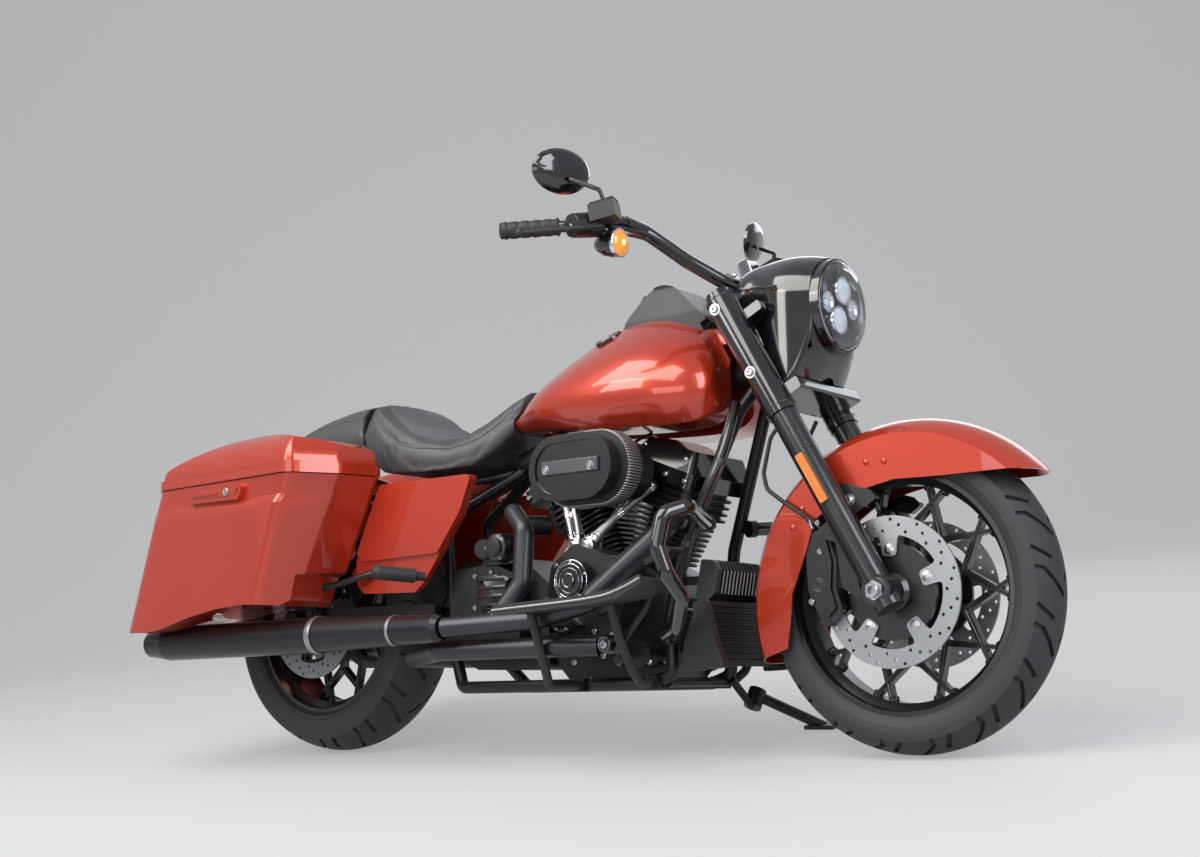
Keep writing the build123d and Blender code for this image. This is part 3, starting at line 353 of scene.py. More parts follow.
def addGroove(cutter, spec, side, base, cut):
    ends = []
    for share, turn in (cut[:2], cut[2:]):
        y = side * share * spec["half"]
        r = tyreRadiusAt(spec, y) - grooves["sunk"]
        angle = radians(base + turn)
        ends.append(spec["hub"] + Vector((r * cos(angle), y, r * sin(angle))))
    run = ends[1] - ends[0]
    middle = (ends[0] + ends[1]) / 2
    outward = ((middle - spec["hub"]) * Vector((1, 0, 1))).normalized()
    outward = (outward + Vector((0, side * grooves["spread"] * (cut[0] + cut[2]) / 2, 0))).normalized()
    along = run.normalized()
    sideways = outward.cross(along).normalized()
    turn = Matrix((along, sideways, along.cross(sideways))).transposed()
    addBox(cutter, middle, (run.length + spec["wide"] * grooves["overlap"], spec["wide"], grooves["deep"]), turn)


def makeTyre(name, spec):
    half, bead, beadHalf = spec["half"], spec["bead"], spec["beadHalf"]
    crown = [(y, tyreRadiusAt(spec, y)) for y in [(half - 3) * (k / 8) for k in range(-8, 9)]]
    shoulder = crown[0][1]
    wall = [(half, shoulder - 12), (half, shoulder - 20), (half - 1.5, bead + 22), (half - 3, bead + 20),
            (half - 4.5, bead + 12), (beadHalf + 4, bead + 3), (beadHalf, bead)]
    inner = (beadHalf - 6, bead - 1)
    profile = [(-y, r) for y, r in reversed(wall)] + crown + wall + [inner]
    profile = [(-inner[0], inner[1])] + profile + [(-inner[0], inner[1])]
    carcass, cutter = newMeshes(2)
    addLathe(carcass, spec["hub"], spec["hub"] + Vector((0, 1, 0)), profile, steps=144)
    for side in bothSides:
        for index in range(spec["grooves"]):
            base = 360 / spec["grooves"] * (index + (0.5 if side > 0 else 0))
            for cut in grooves["long" if index % 2 == 0 else "short"]:
                addGroove(cutter, spec, side, base, cut)
    addPiece(name, carved(carcass, cutter, selfCrossing=True), spec["body"], "tyreRubber",
             replaces=[spec["node"]])
    print(name, "made")


for name, spec in tyreSpecs.items():
    makeTyre(name, spec)


# brake discs, drilled, with their bolts
rotorSpec = dict(holeRadius=3.6, rows=15, holes=((0.0, 0.20), (0.33, 0.55), (0.66, 0.86)),  # step round, share out
                 bolts=5, firstBolt=18, frontBolts=83.0, frontY=88.5, rearBolts=76.0, rearY=-110.5,
                 pulleyBolts=88.0, pulleyY=112.0, washer=[(0, 0), (0, 11), (0.5, 11), (0.7, 10.5), (0.7, 0)])


def drilledDisc(name, nodeName, hub, inner, outer, body, sides):
    disc, cutter = nodeMesh(nodeName), bmesh.new()
    disc.transform(machine.inverted())
    for index in range(rotorSpec["rows"]):
        for step, share in rotorSpec["holes"]:
            angle = 2 * pi * (index + step) / rotorSpec["rows"]
            radius = inner + (outer - inner) * share
            spot = hub + Vector((radius * cos(angle), 0, radius * sin(angle)))
            for y in sides:
                addRod(cutter, spot + Vector((0, y - 6, 0)), spot + Vector((0, y + 6, 0)),
                       rotorSpec["holeRadius"], segments=10)
    addPiece(name, carved(disc, cutter), body, "brushedSteel", replaces=[nodeName])


def boltCircle(hub, radius, y):
    # the spots of a wheel's bolts
    for index in range(rotorSpec["bolts"]):
        angle = radians(index * 360 / rotorSpec["bolts"] + rotorSpec["firstBolt"])
        yield hub + Vector((radius * cos(angle), y, radius * sin(angle)))


drilledDisc("frontDiscs", "front_rotors", frontHub, 114.0, 147.0, "front_wheel", (-86, 86))
drilledDisc("rearDisc", "rear_rotor", rearHub, 110.0, 143.0, "rear_wheel", (-108,))
frontBolts, rearBolts = newMeshes(2)
for side in bothSides:
    out = Vector((0, side, 0))
    for spot in boltCircle(frontHub, rotorSpec["frontBolts"], side * rotorSpec["frontY"]):
        addLathe(frontBolts, spot, spot + out, rotorSpec["washer"], steps=24)
        addBolt(frontBolts, spot + out * 0.6, out, 7.5, 2.2)
for spot in boltCircle(rearHub, rotorSpec["rearBolts"], rotorSpec["rearY"]):
    addBolt(rearBolts, spot, (0, -1, 0), 8, 6)
for spot in boltCircle(rearHub, rotorSpec["pulleyBolts"], rotorSpec["pulleyY"]):
    addBolt(rearBolts, spot, (0, 1, 0), 8, 6)
addPiece("frontDiscBolts", frontBolts, "front_wheel", "zincBolt")
addPiece("rearHubBolts", rearBolts, "rear_wheel", "zincBolt")
print("discs made")


# more makers: plates, rings and shapes set out on a surface
def addPlate(bm, outline, y0, y1, bevel=0.0, segments=2, frameTurn=None):
    # outline of (x, z) points given thickness across the machine, or along frameTurn's own y
    turn = frameTurn or Matrix.Identity(4)
    lower = [bm.verts.new(turn @ Vector((x, y0, z))) for x, z in outline]
    upper = [bm.verts.new(turn @ Vector((x, y1, z))) for x, z in outline]
    caps = [bm.faces.new(lower), bm.faces.new(upper)]
    rims = [[edge for edge in cap.edges] for cap in caps]
    bmesh.ops.bridge_loops(bm, edges=rims[0] + rims[1])
    if bevel:
        bmesh.ops.bevel(bm, geom=rims[1], offset=bevel, segments=segments, profile=0.5, affect="EDGES",
                        material=-1)


def roundedOutline(corners, radius, steps=5):
    # corner points with each corner turned into a short arc
    points = []
    for index, corner in enumerate(corners):
        here, back, ahead = Vector(corner), Vector(corners[index - 1]), Vector(corners[(index + 1) % len(corners)])
        back, ahead = (back - here).normalized(), (ahead - here).normalized()
        half = back.angle(ahead) / 2
        reach = radius / max(0.2, abs(sin(half) / cos(half)))
        centre = here + (back + ahead).normalized() * (radius / sin(half))
        start, end = here + back * reach - centre, here + ahead * reach - centre
        for k in range(steps + 1):
            points.append(centre + start.slerp(end, k / steps))
    return [tuple(point) for point in points]


def slotOutline(cx, cz, wide, high, steps=16):
    radius = high / 2
    points = []
    for side in (1, -1):
        for k in range(steps + 1):
            angle = side * pi / 2 - pi * k / steps if side > 0 else -pi / 2 - pi * k / steps
            points.append((cx + side * (wide / 2 - radius) + radius * cos(angle), cz + radius * sin(angle)))
    return points


def addRing(bm, at, out, radius, thick, steps=48, facets=8):
    # plain torus
    at = Vector(at)
    profile = [(thick * sin(2 * pi * k / facets), radius + thick * cos(2 * pi * k / facets))
               for k in range(facets + 1)]
    addLathe(bm, at, at + Vector(out), profile, steps=steps)


def surfaceOf(*names):
    # search tree over the machine-frame copy of some nodes
    bm = bmesh.new()
    for name in names:
        bm.from_mesh(frame["nodes"][name].data)
    bm.transform(machine.inverted())
    tree = BVHTree.FromBMesh(bm)
    bm.free()
    return tree


# air cleaner: oval cover with a raised band, over a ring of pleats
airSpec = dict(centre=(992.0, 606.0), face=-298.0, filterCentre=(1000.0, 606.0), filterSize=(232.0, 156.0),
               filterSpan=(-212.0, -260.0), pleats=104, band=(905.0, 580.0, 1081.0, 634.0))


def makeAirCover():
    bm = bmesh.new()
    cx, cz = airSpec["centre"]
    face = airSpec["face"]
    addPlate(bm, slotOutline(cx, cz, 214, 134), face + 4, face - 5, bevel=4, segments=3)
    hollow = bmesh.new()
    addPlate(hollow, slotOutline(cx, cz, 190, 110), face - 0.6, face - 9)
    bm = carved(bm, hollow)
    addPiece("airCoverRim", bm, "chassis", "glossBlack")
    bm = bmesh.new()
    x0, z0, x1, z1 = airSpec["band"]
    addPlate(bm, roundedOutline([(x0, z0), (x1, z0), (x1, z1), (x0, z1)], 13), face, face - 6.5, bevel=1.5)
    addPlate(bm, roundedOutline([(x0 + 5, z0 + 5), (x1 - 5, z0 + 5), (x1 - 5, z1 - 5), (x0 + 5, z1 - 5)], 9),
             face - 6, face - 8, bevel=1.0)
    addPiece("airCoverBand", bm, "chassis", "bandGrey", sharp=18)
    bm = bmesh.new()
    for x in (931.0, 1050.0):
        addRing(bm, (x, face - 8.2, 604), (0, -1, 0), 8.0, 0.8, steps=24)
        addBolt(bm, (x, face - 7.5, 604), (0, -1, 0), 5.5, 3.2)
    addPiece("airCoverScrews", bm, "chassis", "zincBolt")


def makePleats():
    bm = bmesh.new()
    fx, fz = airSpec["filterCentre"]
    wide, high = airSpec["filterSize"]
    straight = wide - high
    perimeter = 2 * straight + pi * high
    y0, y1 = airSpec["filterSpan"]
    for index in range(airSpec["pleats"]):
        run = perimeter * index / airSpec["pleats"]
        if run < straight:
            spot, out = Vector((fx - straight / 2 + run, 0, fz + high / 2)), Vector((0, 0, 1))
        elif run < straight + pi * high / 2:
            angle = pi / 2 - (run - straight) / (high / 2)
            out = Vector((cos(angle), 0, sin(angle)))
            spot = Vector((fx + straight / 2, 0, fz)) + out * high / 2
        elif run < 2 * straight + pi * high / 2:
            spot = Vector((fx + straight / 2 - (run - straight - pi * high / 2), 0, fz - high / 2))
            out = Vector((0, 0, -1))
        else:
            angle = -pi / 2 - (run - 2 * straight - pi * high / 2) / (high / 2)
            out = Vector((cos(angle), 0, sin(angle)))
            spot = Vector((fx - straight / 2, 0, fz)) + out * high / 2
        along = Vector((0, 1, 0)).cross(out)
        turn = Matrix((along, Vector((0, 1, 0)), out)).transposed()
        addBox(bm, spot + Vector((0, (y0 + y1) / 2, 0)) + out * 0.2, (3.4, abs(y1 - y0), 6.0), turn, bevel=1.1,
               segments=1)
    addPiece("filterPleats", bm, "chassis", "filterPleat", sharp=40)


makeAirCover()
makePleats()
print("air cleaner made")


# engine: fins' bright edges, rocker boxes, lifter blocks, covers and bolts
crank = Vector((950.0, 0.0, 262.0))


def onVee(side, along, off=0.0, y=0.0):
    tilt = radians(22.5) * side
    return crank + Vector((along * sin(tilt) + off * cos(tilt), y, along * cos(tilt) - off * sin(tilt)))


def veeTurn(side, along):
    # own x across the cylinder fore and aft, own y up its axis, own z across the machine
    tilt = radians(22.5) * side
    up = Vector((sin(tilt), 0, cos(tilt)))
    ahead = Vector((cos(tilt), 0, -sin(tilt)))
    return Matrix.Translation(onVee(side, along)) @ Matrix((ahead, up, Vector((0, 1, 0)))).transposed().to_4x4()


def boxOutline(wide, high, radius):
    return roundedOutline([(-wide / 2, -high / 2), (wide / 2, -high / 2), (wide / 2, high / 2),
                           (-wide / 2, high / 2)], radius)


finSpec = dict(barrels=[(180 + index * 12, 62 + index * 1.4) for index in range(9)], heads=(292, 307, 322, 337),
               keep=[(780, 100), (780, 386), (832, 388), (910, 430), (990, 430), (1068, 388), (1120, 386),
                     (1120, 100)])


def makeFinEdges():
    bm = bmesh.new()
    for side in bothSides:
        for along, size in finSpec["barrels"]:
            addPlate(bm, boxOutline(2 * size + 0.9, 2 * size + 8.9, 34), 0.9, 3.6, frameTurn=veeTurn(side, along))
        for along in finSpec["heads"]:
            addPlate(bm, boxOutline(172.9, 176.9, 36), 1.0, 4.0, frameTurn=veeTurn(side, along))
    cutter = bmesh.new()
    addPlate(cutter, finSpec["keep"], -300, 300)
    bm = carved(bm, cutter, selfCrossing=True)
    addPiece("finEdges", bm, "chassis", "finEdge", sharp=30)


def makeRockerBands():
    bm = bmesh.new()
    bolts = bmesh.new()
    for side in bothSides:
        addPlate(bm, boxOutline(187.4, 251.4, 16), 3, 12, frameTurn=veeTurn(side, 356))
        addPlate(bm, boxOutline(189.0, 253.0, 16), 15, 27, frameTurn=veeTurn(side, 356))
        for off in (-80, -27, 27, 80):
            for y in bothSides:
                spot = onVee(side, 372, off, y * 126.5)
                addBolt(bolts, spot, (0, y, 0), 6, 5)
                if abs(off) > 50:
                    spot = onVee(side, 400, off * 0.72, y * 104)
                    addBolt(bolts, spot + Vector((0, 0, 14)), (0, y * 0.5, 1), 6, 7)
    addPiece("rockerBands", bm, "chassis", "castGrey")
    addPiece("rockerBolts", bolts, "chassis", "zincBolt")


def makeLifterBlocks():
    bm = bmesh.new()
    for x in (882.0, 921.0):
        addBox(bm, (x, -139, 455), (34, 34, 22), bevel=4)
        addBox(bm, (x, -139, 468), (28, 24, 8), bevel=2.5)
    addPiece("lifterBlocks", bm, "chassis", "finEdge")


pushrods = (  # cylinder side, offset on the head, lower x
    (1, -2, 912), (1, -26, 930), (-1, 4, 872), (-1, 28, 892))


def makePushrodCollars():
    bm = bmesh.new()
    for side, off, lowX in pushrods:
        low, high = Vector((lowX, -138, 463)), onVee(side, 344, off, -112)
        run = (high - low).normalized()
        reach = (high - low).length
        for start, length, radius in ((2, 12, 12.5), (18, 5, 11.0), (reach * 0.46, 16, 10.6),
                                      (reach - 16, 12, 12.0)):
            addLathe(bm, low + run * start, low + run * (start + 1),
                     [(0, 8.6), (0, radius - 1), (1, radius), (length - 1, radius), (length, radius - 1),
                      (length, 8.6)],
                     steps=24)
    addPiece("pushrodCollars", bm, "chassis", "chrome")


timer = dict(x=915.0, z=374.0, rings=((-206.4, 44.6, 0.9), (-211.4, 36.4, 0.8), (-211.6, 27.0, 0.7),
                                      (-215.6, 14.6, 0.7)))


def makeTimer():
    bm = bmesh.new()
    for y, radius, thick in timer["rings"]:
        addRing(bm, (timer["x"], y, timer["z"]), (0, -1, 0), radius, thick)
    for index in range(5):
        angle = radians(90 + index * 72)
        spot = Vector((timer["x"] + 41 * cos(angle), -206, timer["z"] + 41 * sin(angle)))
        addBolt(bm, spot, (0, -1, 0), 3.4, 3)
    addPiece("timerRings", bm, "chassis", "chrome")
    bm = bmesh.new()
    addLathe(bm, (timer["x"], -211, timer["z"]), (timer["x"], -212, timer["z"]),
             [(0, 0), (0, 33), (1.5, 34), (2.6, 33), (2.6, 30.5), (1.2, 29.5), (1.2, 17), (0, 0)])
    addPiece("timerFace", bm, "chassis", "glossBlack")


camSpec = dict(
    y=-177.5, bolts=((826, 338), (824, 292), (888, 258), (958, 264), (1016, 282), (1034, 336), (1010, 394), (852, 412)),
    caseY=91.5, caseBolts=((800, 380), (796, 320), (1104, 300), (1080, 200), (880, 160), (1000, 160)),
    lowRib=[(838, 352), (842, 300), (900, 268), (950, 274), (864, 330)],
    highRib=[(960, 288), (1008, 300), (1022, 340), (998, 384), (972, 330)],
    bosses=(((1006, -178, 250), (1006, -196, 250), 26), ((1052, -92, 214), (1052, -150, 214), 30)))


def makeCamSide(spec):
    bolts, ribs = newMeshes(2)
    for x, z in spec["bolts"]:
        addBolt(bolts, (x, spec["y"], z), (0, -1, 0), 6.5, 6)
    for x, z in spec["caseBolts"]:
        for side in bothSides:
            addBolt(bolts, (x, side * spec["caseY"], z), (0, side, 0), 7, 6)
    addPlate(ribs, roundedOutline(spec["lowRib"], 6), -178, -184, bevel=2)
    addPlate(ribs, roundedOutline(spec["highRib"], 7), -178, -186, bevel=2.5)
    for start, end, radius in spec["bosses"]:
        addRod(ribs, start, end, radius)
    addPiece("engineBolts", bolts, "chassis", "zincBolt")
    addPiece("camRibs", ribs, "chassis", "wrinkleBlack")


# side of the gearbox, with the starter and its solenoid above
gearSpec = dict(
    outline=[(592, 318), (700, 306), (712, 350), (708, 404), (660, 420), (596, 414)], face=-150.0, ribs=4,
    ribAt=(652, 334), ribStep=20, ribSize=(92, 6, 9), back=-116, height=462, starterX=688, solenoidX=632,
    starter=[(0, 0), (0, 34), (70, 34), (78, 30), (80, 22), (86, 20), (88, 0)],
    solenoid=[(0, 0), (0, 24), (58, 24), (64, 20), (65, 0)], saddle=dict(at=(664, -140, 440), size=(96, 40, 30)),
    bolts=((604, 330), (604, 402), (654, 409), (700, 392), (700, 320), (650, 316)))


def makeGearSide(spec):
    face, back, height = spec["face"], spec["back"], spec["height"]
    cover, bolts = newMeshes(2)
    addPlate(cover, roundedOutline(spec["outline"], 14), face, face - 18, bevel=5, segments=3)
    for index in range(spec["ribs"]):
        addBox(cover, (spec["ribAt"][0], face - 19, spec["ribAt"][1] + index * spec["ribStep"]), spec["ribSize"],
               bevel=2.5)
    for x, profile, steps, far in ((spec["starterX"], spec["starter"], 40, 80),
                                   (spec["solenoidX"], spec["solenoid"], 36, 60)):
        addLathe(cover, (x, back, height), (x, back - 1, height), profile, steps=steps)
        addRing(bolts, (x, back - far, height), (0, -1, 0), 21, 0.9, steps=32)
    addBox(cover, spec["saddle"]["at"], spec["saddle"]["size"], bevel=6)
    for x, z in spec["bolts"]:
        addBolt(bolts, (x, face - 17.5, z), (0, -1, 0), 6, 5.5)
    for angle in (radians(60), radians(180), radians(300)):
        addBolt(bolts, (spec["starterX"] + 29 * cos(angle), back - 76, height + 29 * sin(angle)), (0, -1, 0), 4, 4)
    addPiece("gearCover", cover, "chassis", "castBlack")
    addPiece("gearBolts", bolts, "chassis", "zincBolt")


plugSpecs = {"rear": dict(side=-1, off=58), "front": dict(side=1, off=-70)}
leadRoute = [(0, 0, 0), (0, -14, 22), (10, -4, 60), (20, 60, 84)]  # from the boot's tip


def makePlug(name, side, off):
    seat = onVee(side, 322, off, -88)
    tip = onVee(side, 352, off - side * 4, -122)
    boot, lead = newMeshes(2)
    addRod(boot, seat, tip, 9, 7, segments=20)
    addRing(boot, seat.lerp(tip, 0.25), tip - seat, 9.2, 1.4, steps=20)
    addTube(lead, [tip + Vector(step) for step in leadRoute], 3.6)
    addPiece(name + "PlugBoot", boot, "chassis", "bootRed")
    addPiece(name + "PlugLead", lead, "chassis", "softRubber")


makeFinEdges()
makeRockerBands()
makeLifterBlocks()
makePushrodCollars()
makeTimer()
makeCamSide(camSpec)
makeGearSide(gearSpec)
for name, spec in plugSpecs.items():
    makePlug(name, **spec)
print("engine dressed")


# painted and gloss panels shaded as one skin: copies of their nodes with merged corners
panels = (  # node, body, finish, slot, sharp angle
    ("saddlebag_left", "chassis", "paint", "paint", 24), ("saddlebag_right", "chassis", "paint", "paint", 24),
    ("bag_lid_left", "lid_left", "paint", "paint", 26), ("bag_lid_right", "lid_right", "paint", "paint", 26),
    ("nacelle", "steering", "glossBlack", "black_gloss", 52),
    ("console", "chassis", "satinBlack", "black_gloss", 30),
    ("mirrors", "steering", "glossBlack", "black_gloss", 34),
    ("side_covers", "chassis", "paint", "paint", 24), ("fuel_tank", "chassis", "paint", "paint", 40),
    ("front_fender", "steering", "paint", "paint", 34), ("rear_fender", "chassis", "paint", "paint", 34))
for name, body, finish, slotName, sharp in panels:
    addPiece("skin_" + name, nodeMesh(name), body, finish, sharp=sharp, replaces=[name], inRecord=True)
print("panels skinned")


# seat: padded, sewn, with a strap in the gap
seatSpec = dict(voxel=0.006, swell=0.006, shrink=0.003, pressure=4.0, frames=20, seamDepth=2.6, seamWidth=4.2,
                seamReach=16, stitchStep=8.0, stitchSize=(4.6, 1.3), strapX=219, strapHalf=5.4,
                strap=[(-134, 722), (134, 722), (153, 752), (156, 790), (150, 822), (134, 844), (72, 862),
                       (0, 869), (-72, 862), (-134, 844), (-150, 822), (-156, 790), (-153, 752)])
seams = (  # x, half width on the seat, height, along each sewn line
    [(628, 84, 812), (590, 112, 776), (540, 140, 744), (480, 160, 724), (420, 172, 722), (360, 176, 738),
     (300, 168, 782), (256, 154, 826), (230, 146, 840)],
    [(600, 58, 832), (548, 86, 792), (490, 110, 758), (430, 128, 748), (370, 134, 756), (312, 126, 800),
     (262, 112, 852), (234, 104, 862)],
    [(208, 140, 836), (120, 136, 834), (20, 126, 822), (-60, 108, 804), (-104, 84, 790)],
)


def seamRun(points, side, tree):
    # the sewn line laid on the surface, in even steps
    dense = []
    for (x0, y0, z0), (x1, y1, z1) in zip(points, points[1:]):
        for k in range(12):
            t = k / 12
            dense.append(Vector((x0 + (x1 - x0) * t, side * (y0 + (y1 - y0) * t), z0 + (z1 - z0) * t)))
    laid = [tree.find_nearest(point) for point in dense]
    even, passed = [], 0.0
    for (a, normal, _, _), (b, _, _, _) in zip(laid, laid[1:]):
        length = (b - a).length
        while passed <= length and length > 0:
            even.append((a.lerp(b, passed / length), normal, (b - a).normalized()))
            passed += seatSpec["stitchStep"] / 4
        passed -= length
    return even


def clothStep(bm):
    # remeshed cover swollen by a short cloth run, each point held near its start
    mesh = bpy.data.meshes.new("seatStart")
    bm.to_mesh(mesh)
    bm.free()
    holder = bpy.data.objects.new("seatStart", mesh)
    bpy.context.scene.collection.objects.link(holder)
    remesh = holder.modifiers.new("voxels", "REMESH")
    remesh.mode = "VOXEL"
    remesh.voxel_size = seatSpec["voxel"]
    bpy.context.view_layer.update()
    base = bpy.data.meshes.new_from_object(holder.evaluated_get(bpy.context.evaluated_depsgraph_get()))
    bpy.data.objects.remove(holder)
    bm = bmesh.new()
    bm.from_mesh(base)
    bmesh.ops.smooth_vert(bm, verts=bm.verts, factor=0.5, use_axis_x=True, use_axis_y=True, use_axis_z=True)
    for vert in bm.verts:
        vert.co -= vert.normal * seatSpec["shrink"]
    bm.normal_update()
    bm.to_mesh(base)
    bm.free()
    holder = bpy.data.objects.new("seatCloth", base)
    bpy.context.scene.collection.objects.link(holder)
    start = [vert.co.copy() for vert in base.vertices]
    pins = holder.vertex_groups.new(name="base")
    pins.add([vert.index for vert in base.vertices if vert.normal.z < -0.6], 1.0, "REPLACE")
    cloth = holder.modifiers.new("cloth", "CLOTH")
    settings = cloth.settings
    settings.quality = 4
    settings.mass = 0.3
    settings.vertex_group_mass = "base"
    settings.use_pressure = True
    settings.uniform_pressure_force = seatSpec["pressure"]
    settings.effector_weights.gravity = 0
    for step in range(1, seatSpec["frames"] + 1):
        bpy.context.scene.frame_set(step)
    swollen = bpy.data.meshes.new_from_object(holder.evaluated_get(bpy.context.evaluated_depsgraph_get()))
    bpy.context.scene.frame_set(1)
    bpy.data.objects.remove(holder)
    bm = bmesh.new()
    bm.from_mesh(swollen)
    for vert, home in zip(bm.verts, start):
        move = vert.co - home
        if move.length > seatSpec["swell"]:
            vert.co = home + move.normalized() * seatSpec["swell"]
    bmesh.ops.smooth_vert(bm, verts=bm.verts, factor=0.5, use_axis_x=True, use_axis_y=True, use_axis_z=True)
    bmesh.ops.subdivide_edges(bm, edges=bm.edges, cuts=1, use_grid_fill=True, smooth=0.0)
    return bm


def makeSeat():
    bm = clothStep(nodeMesh("seat"))
    bm.transform(machine.inverted())
    bm.normal_update()
    seatTree = BVHTree.FromBMesh(bm)
    runs = [seamRun(points, side, seatTree) for points in seams for side in bothSides]
    seamTree = kdtree.KDTree(sum(len(run) for run in runs))
    for index, (spot, _, _) in enumerate(entry for run in runs for entry in run):
        seamTree.insert(spot, index)
    seamTree.balance()
    for vert in bm.verts:
        _, _, far = seamTree.find(vert.co)
        if far < seatSpec["seamReach"]:
            vert.co -= vert.normal * seatSpec["seamDepth"] * exp(-(far / seatSpec["seamWidth"]) ** 2)
    bm.normal_update()
    seatSkin = addPiece("seatCover", bm, "chassis", "seatVinyl", sharp=80, replaces=["seat"])
    bm = bmesh.new()
    long, thick = seatSpec["stitchSize"]
    for run in runs:
        for spot, normal, along in run[::4]:
            across = normal.cross(along).normalized()
            turn = Matrix((along, across, along.cross(across))).transposed()
            addBox(bm, spot - normal * 0.8 + across * 2.6, (long, thick, thick), turn)
    addPiece("seatStitches", bm, "chassis", "stitch", sharp=20)
    bm = bmesh.new()
    # the strap is near-black, with the shade of the gap at its sides painted into it
    addPlate(bm, roundedOutline(seatSpec["strap"], 8), -seatSpec["strapHalf"], seatSpec["strapHalf"], bevel=2,
             frameTurn=Matrix.Translation((seatSpec["strapX"], 0, 0)) @ Matrix.Rotation(-pi / 2, 4, "Z"))
    addPiece("seatStrap", bm, "chassis", "blackAndPaintedShade")


makeSeat()
print("seat sewn")


# lamps: headlamp reflectors, signals, tail lamp
ahead = Vector((1, 0, 0))
headlampSpec = dict(
    height=930.0, dishX=1477.6, trimX=1491.0, trimRadius=97.0, trimThick=1.6,
    pods=((10, 34, 30), (-10, -33, 30)),  # y, height above the middle, radius
    podRimX=1488.0, podEyeX=1486.0, sides=(-50, 50), sideRimX=1480.0, sideEyeX=1482.0,
    dish=[(0, 0), (0, 60), (2, 74), (7, 84), (13, 89.4), (14.4, 89.4), (8, 84), (3, 74), (1.4, 60), (1.4, 0)],
    sideRim=[(0, 8), (2, 15), (6, 20), (8, 21), (8, 22.5), (2, 22.5), (0, 8)],
    sideEye=[(0, 0), (0, 7), (3, 6), (5, 0)],
    dividers=(90, 210, 330), dividerX=1482.0, dividerOut=72.0, dividerSize=(8, 32, 7))


def makeHeadlamp(spec):
    middle = Vector((0, 0, spec["height"]))
    turnedPiece("lampDish", middle + ahead * spec["dishX"], ahead, spec["dish"], 64, "steering", "lampShade")
    rims, trim, eyes, dividers = newMeshes(4)
    for y, dz, radius in spec["pods"]:
        at = Vector((spec["podRimX"], y, spec["height"] + dz))
        addLathe(rims, at, at + ahead, [(0, radius - 3), (0, radius + 1), (3, radius), (3, radius - 3),
                                        (0, radius - 3)], steps=40)
        at = Vector((spec["podEyeX"], y, spec["height"] + dz))
        addLathe(eyes, at, at + ahead, [(0, 0), (0, radius - 3.4), (3, radius - 4), (7, radius - 10),
                                        (10, radius - 18), (11, 0)], steps=40)
    for y in spec["sides"]:
        at = Vector((spec["sideRimX"], y, spec["height"]))
        addLathe(rims, at, at + ahead, spec["sideRim"], steps=32)
        at = Vector((spec["sideEyeX"], y, spec["height"]))
        addLathe(eyes, at, at + ahead, spec["sideEye"], steps=24)
    addRing(trim, (spec["trimX"], 0, spec["height"]), ahead, spec["trimRadius"], spec["trimThick"], steps=96)
    for angle in spec["dividers"]:
        out = Vector((0, cos(radians(angle)), sin(radians(angle))))
        turn = Matrix((ahead, out, ahead.cross(out))).transposed()
        addBox(dividers, Vector((spec["dividerX"], 0, spec["height"])) + out * spec["dividerOut"],
               spec["dividerSize"], turn, bevel=2)
    addPiece("lampRims", rims, "steering", "lampBowl")
    addPiece("lampTrim", trim, "steering", "castGrey")
    addPiece("lampEyes", eyes, "steering", "lampGlow")
    addPiece("lampDividers", dividers, "steering", "glossBlack")


signalSpec = dict(
    front=(1122, 286, 1074.2), axis=(62, 0, -5), bulbAhead=14.0, rear=(-452, 150, 560), rearDepth=38,
    rim=[(-2, 24), (-2, 31.4), (5, 31.4), (6, 30), (6, 27.5), (3, 27)],
    lens=[(0, 0), (0, 27.6), (4, 27.2), (9, 23), (13, 14), (14.5, 0)],
    bulb=[(0, 0), (0, 7), (1.4, 5), (2.2, 0)],
    rearBody=[(0, 0), (0, 29.6), (24, 26), (38, 21.5), (38, 0)],
    rearLens=[(0, 0), (0, 20.5), (4, 18), (7, 10), (8, 0)])


def makeSignals(spec, side):
    word = sideWord(side)
    front, axis = onSide(spec["front"], side), Vector(spec["axis"]).normalized()
    rear = onSide(spec["rear"], side)
    turnedPiece(word + "SignalRim", front, axis, spec["rim"], 48, "steering", "chrome")
    turnedPiece(word + "SignalLens", front, axis, spec["lens"], 40, "steering", "amberGlow")
    turnedPiece(word + "SignalBulb", front + axis * spec["bulbAhead"], axis, spec["bulb"], 24, "steering",
                "bulbGlow")
    turnedPiece(word + "TailSignalBody", rear, -ahead, spec["rearBody"], 40, "chassis", "glossBlack")
    turnedPiece(word + "TailSignalLens", rear - ahead * spec["rearDepth"], -ahead, spec["rearLens"], 36,
                "chassis", "redLens")


tailSpec = dict(lens=dict(at=(-420, 0, 595), size=(58, 116, 76), bevel=14),
                bezel=dict(at=(-404, 0, 595), size=(30, 122, 82), bevel=12))


def makeTailPart(name, part, finish, replaces=()):
    bm = bmesh.new()
    addBox(bm, part["at"], part["size"], bevel=part["bevel"], segments=4)
    addPiece(name, bm, "chassis", finish, replaces=replaces)


makeHeadlamp(headlampSpec)
for side in bothSides:
    makeSignals(signalSpec, side)
makeTailPart("tailLens", tailSpec["lens"], "redLens", replaces=["tail_lamp"])
makeTailPart("tailBezel", tailSpec["bezel"], "glossBlack")
print("lamps made")


# bars: mirror glass, switch housings, lids and cables
mirrorSpec = dict(middle=(1041, 377, 1226), out=(-0.92, -0.33, 0.2), along=(-0.34, 0.94, 0), forward=8.4,
                  half=(65, 43.5), thick=1.4)


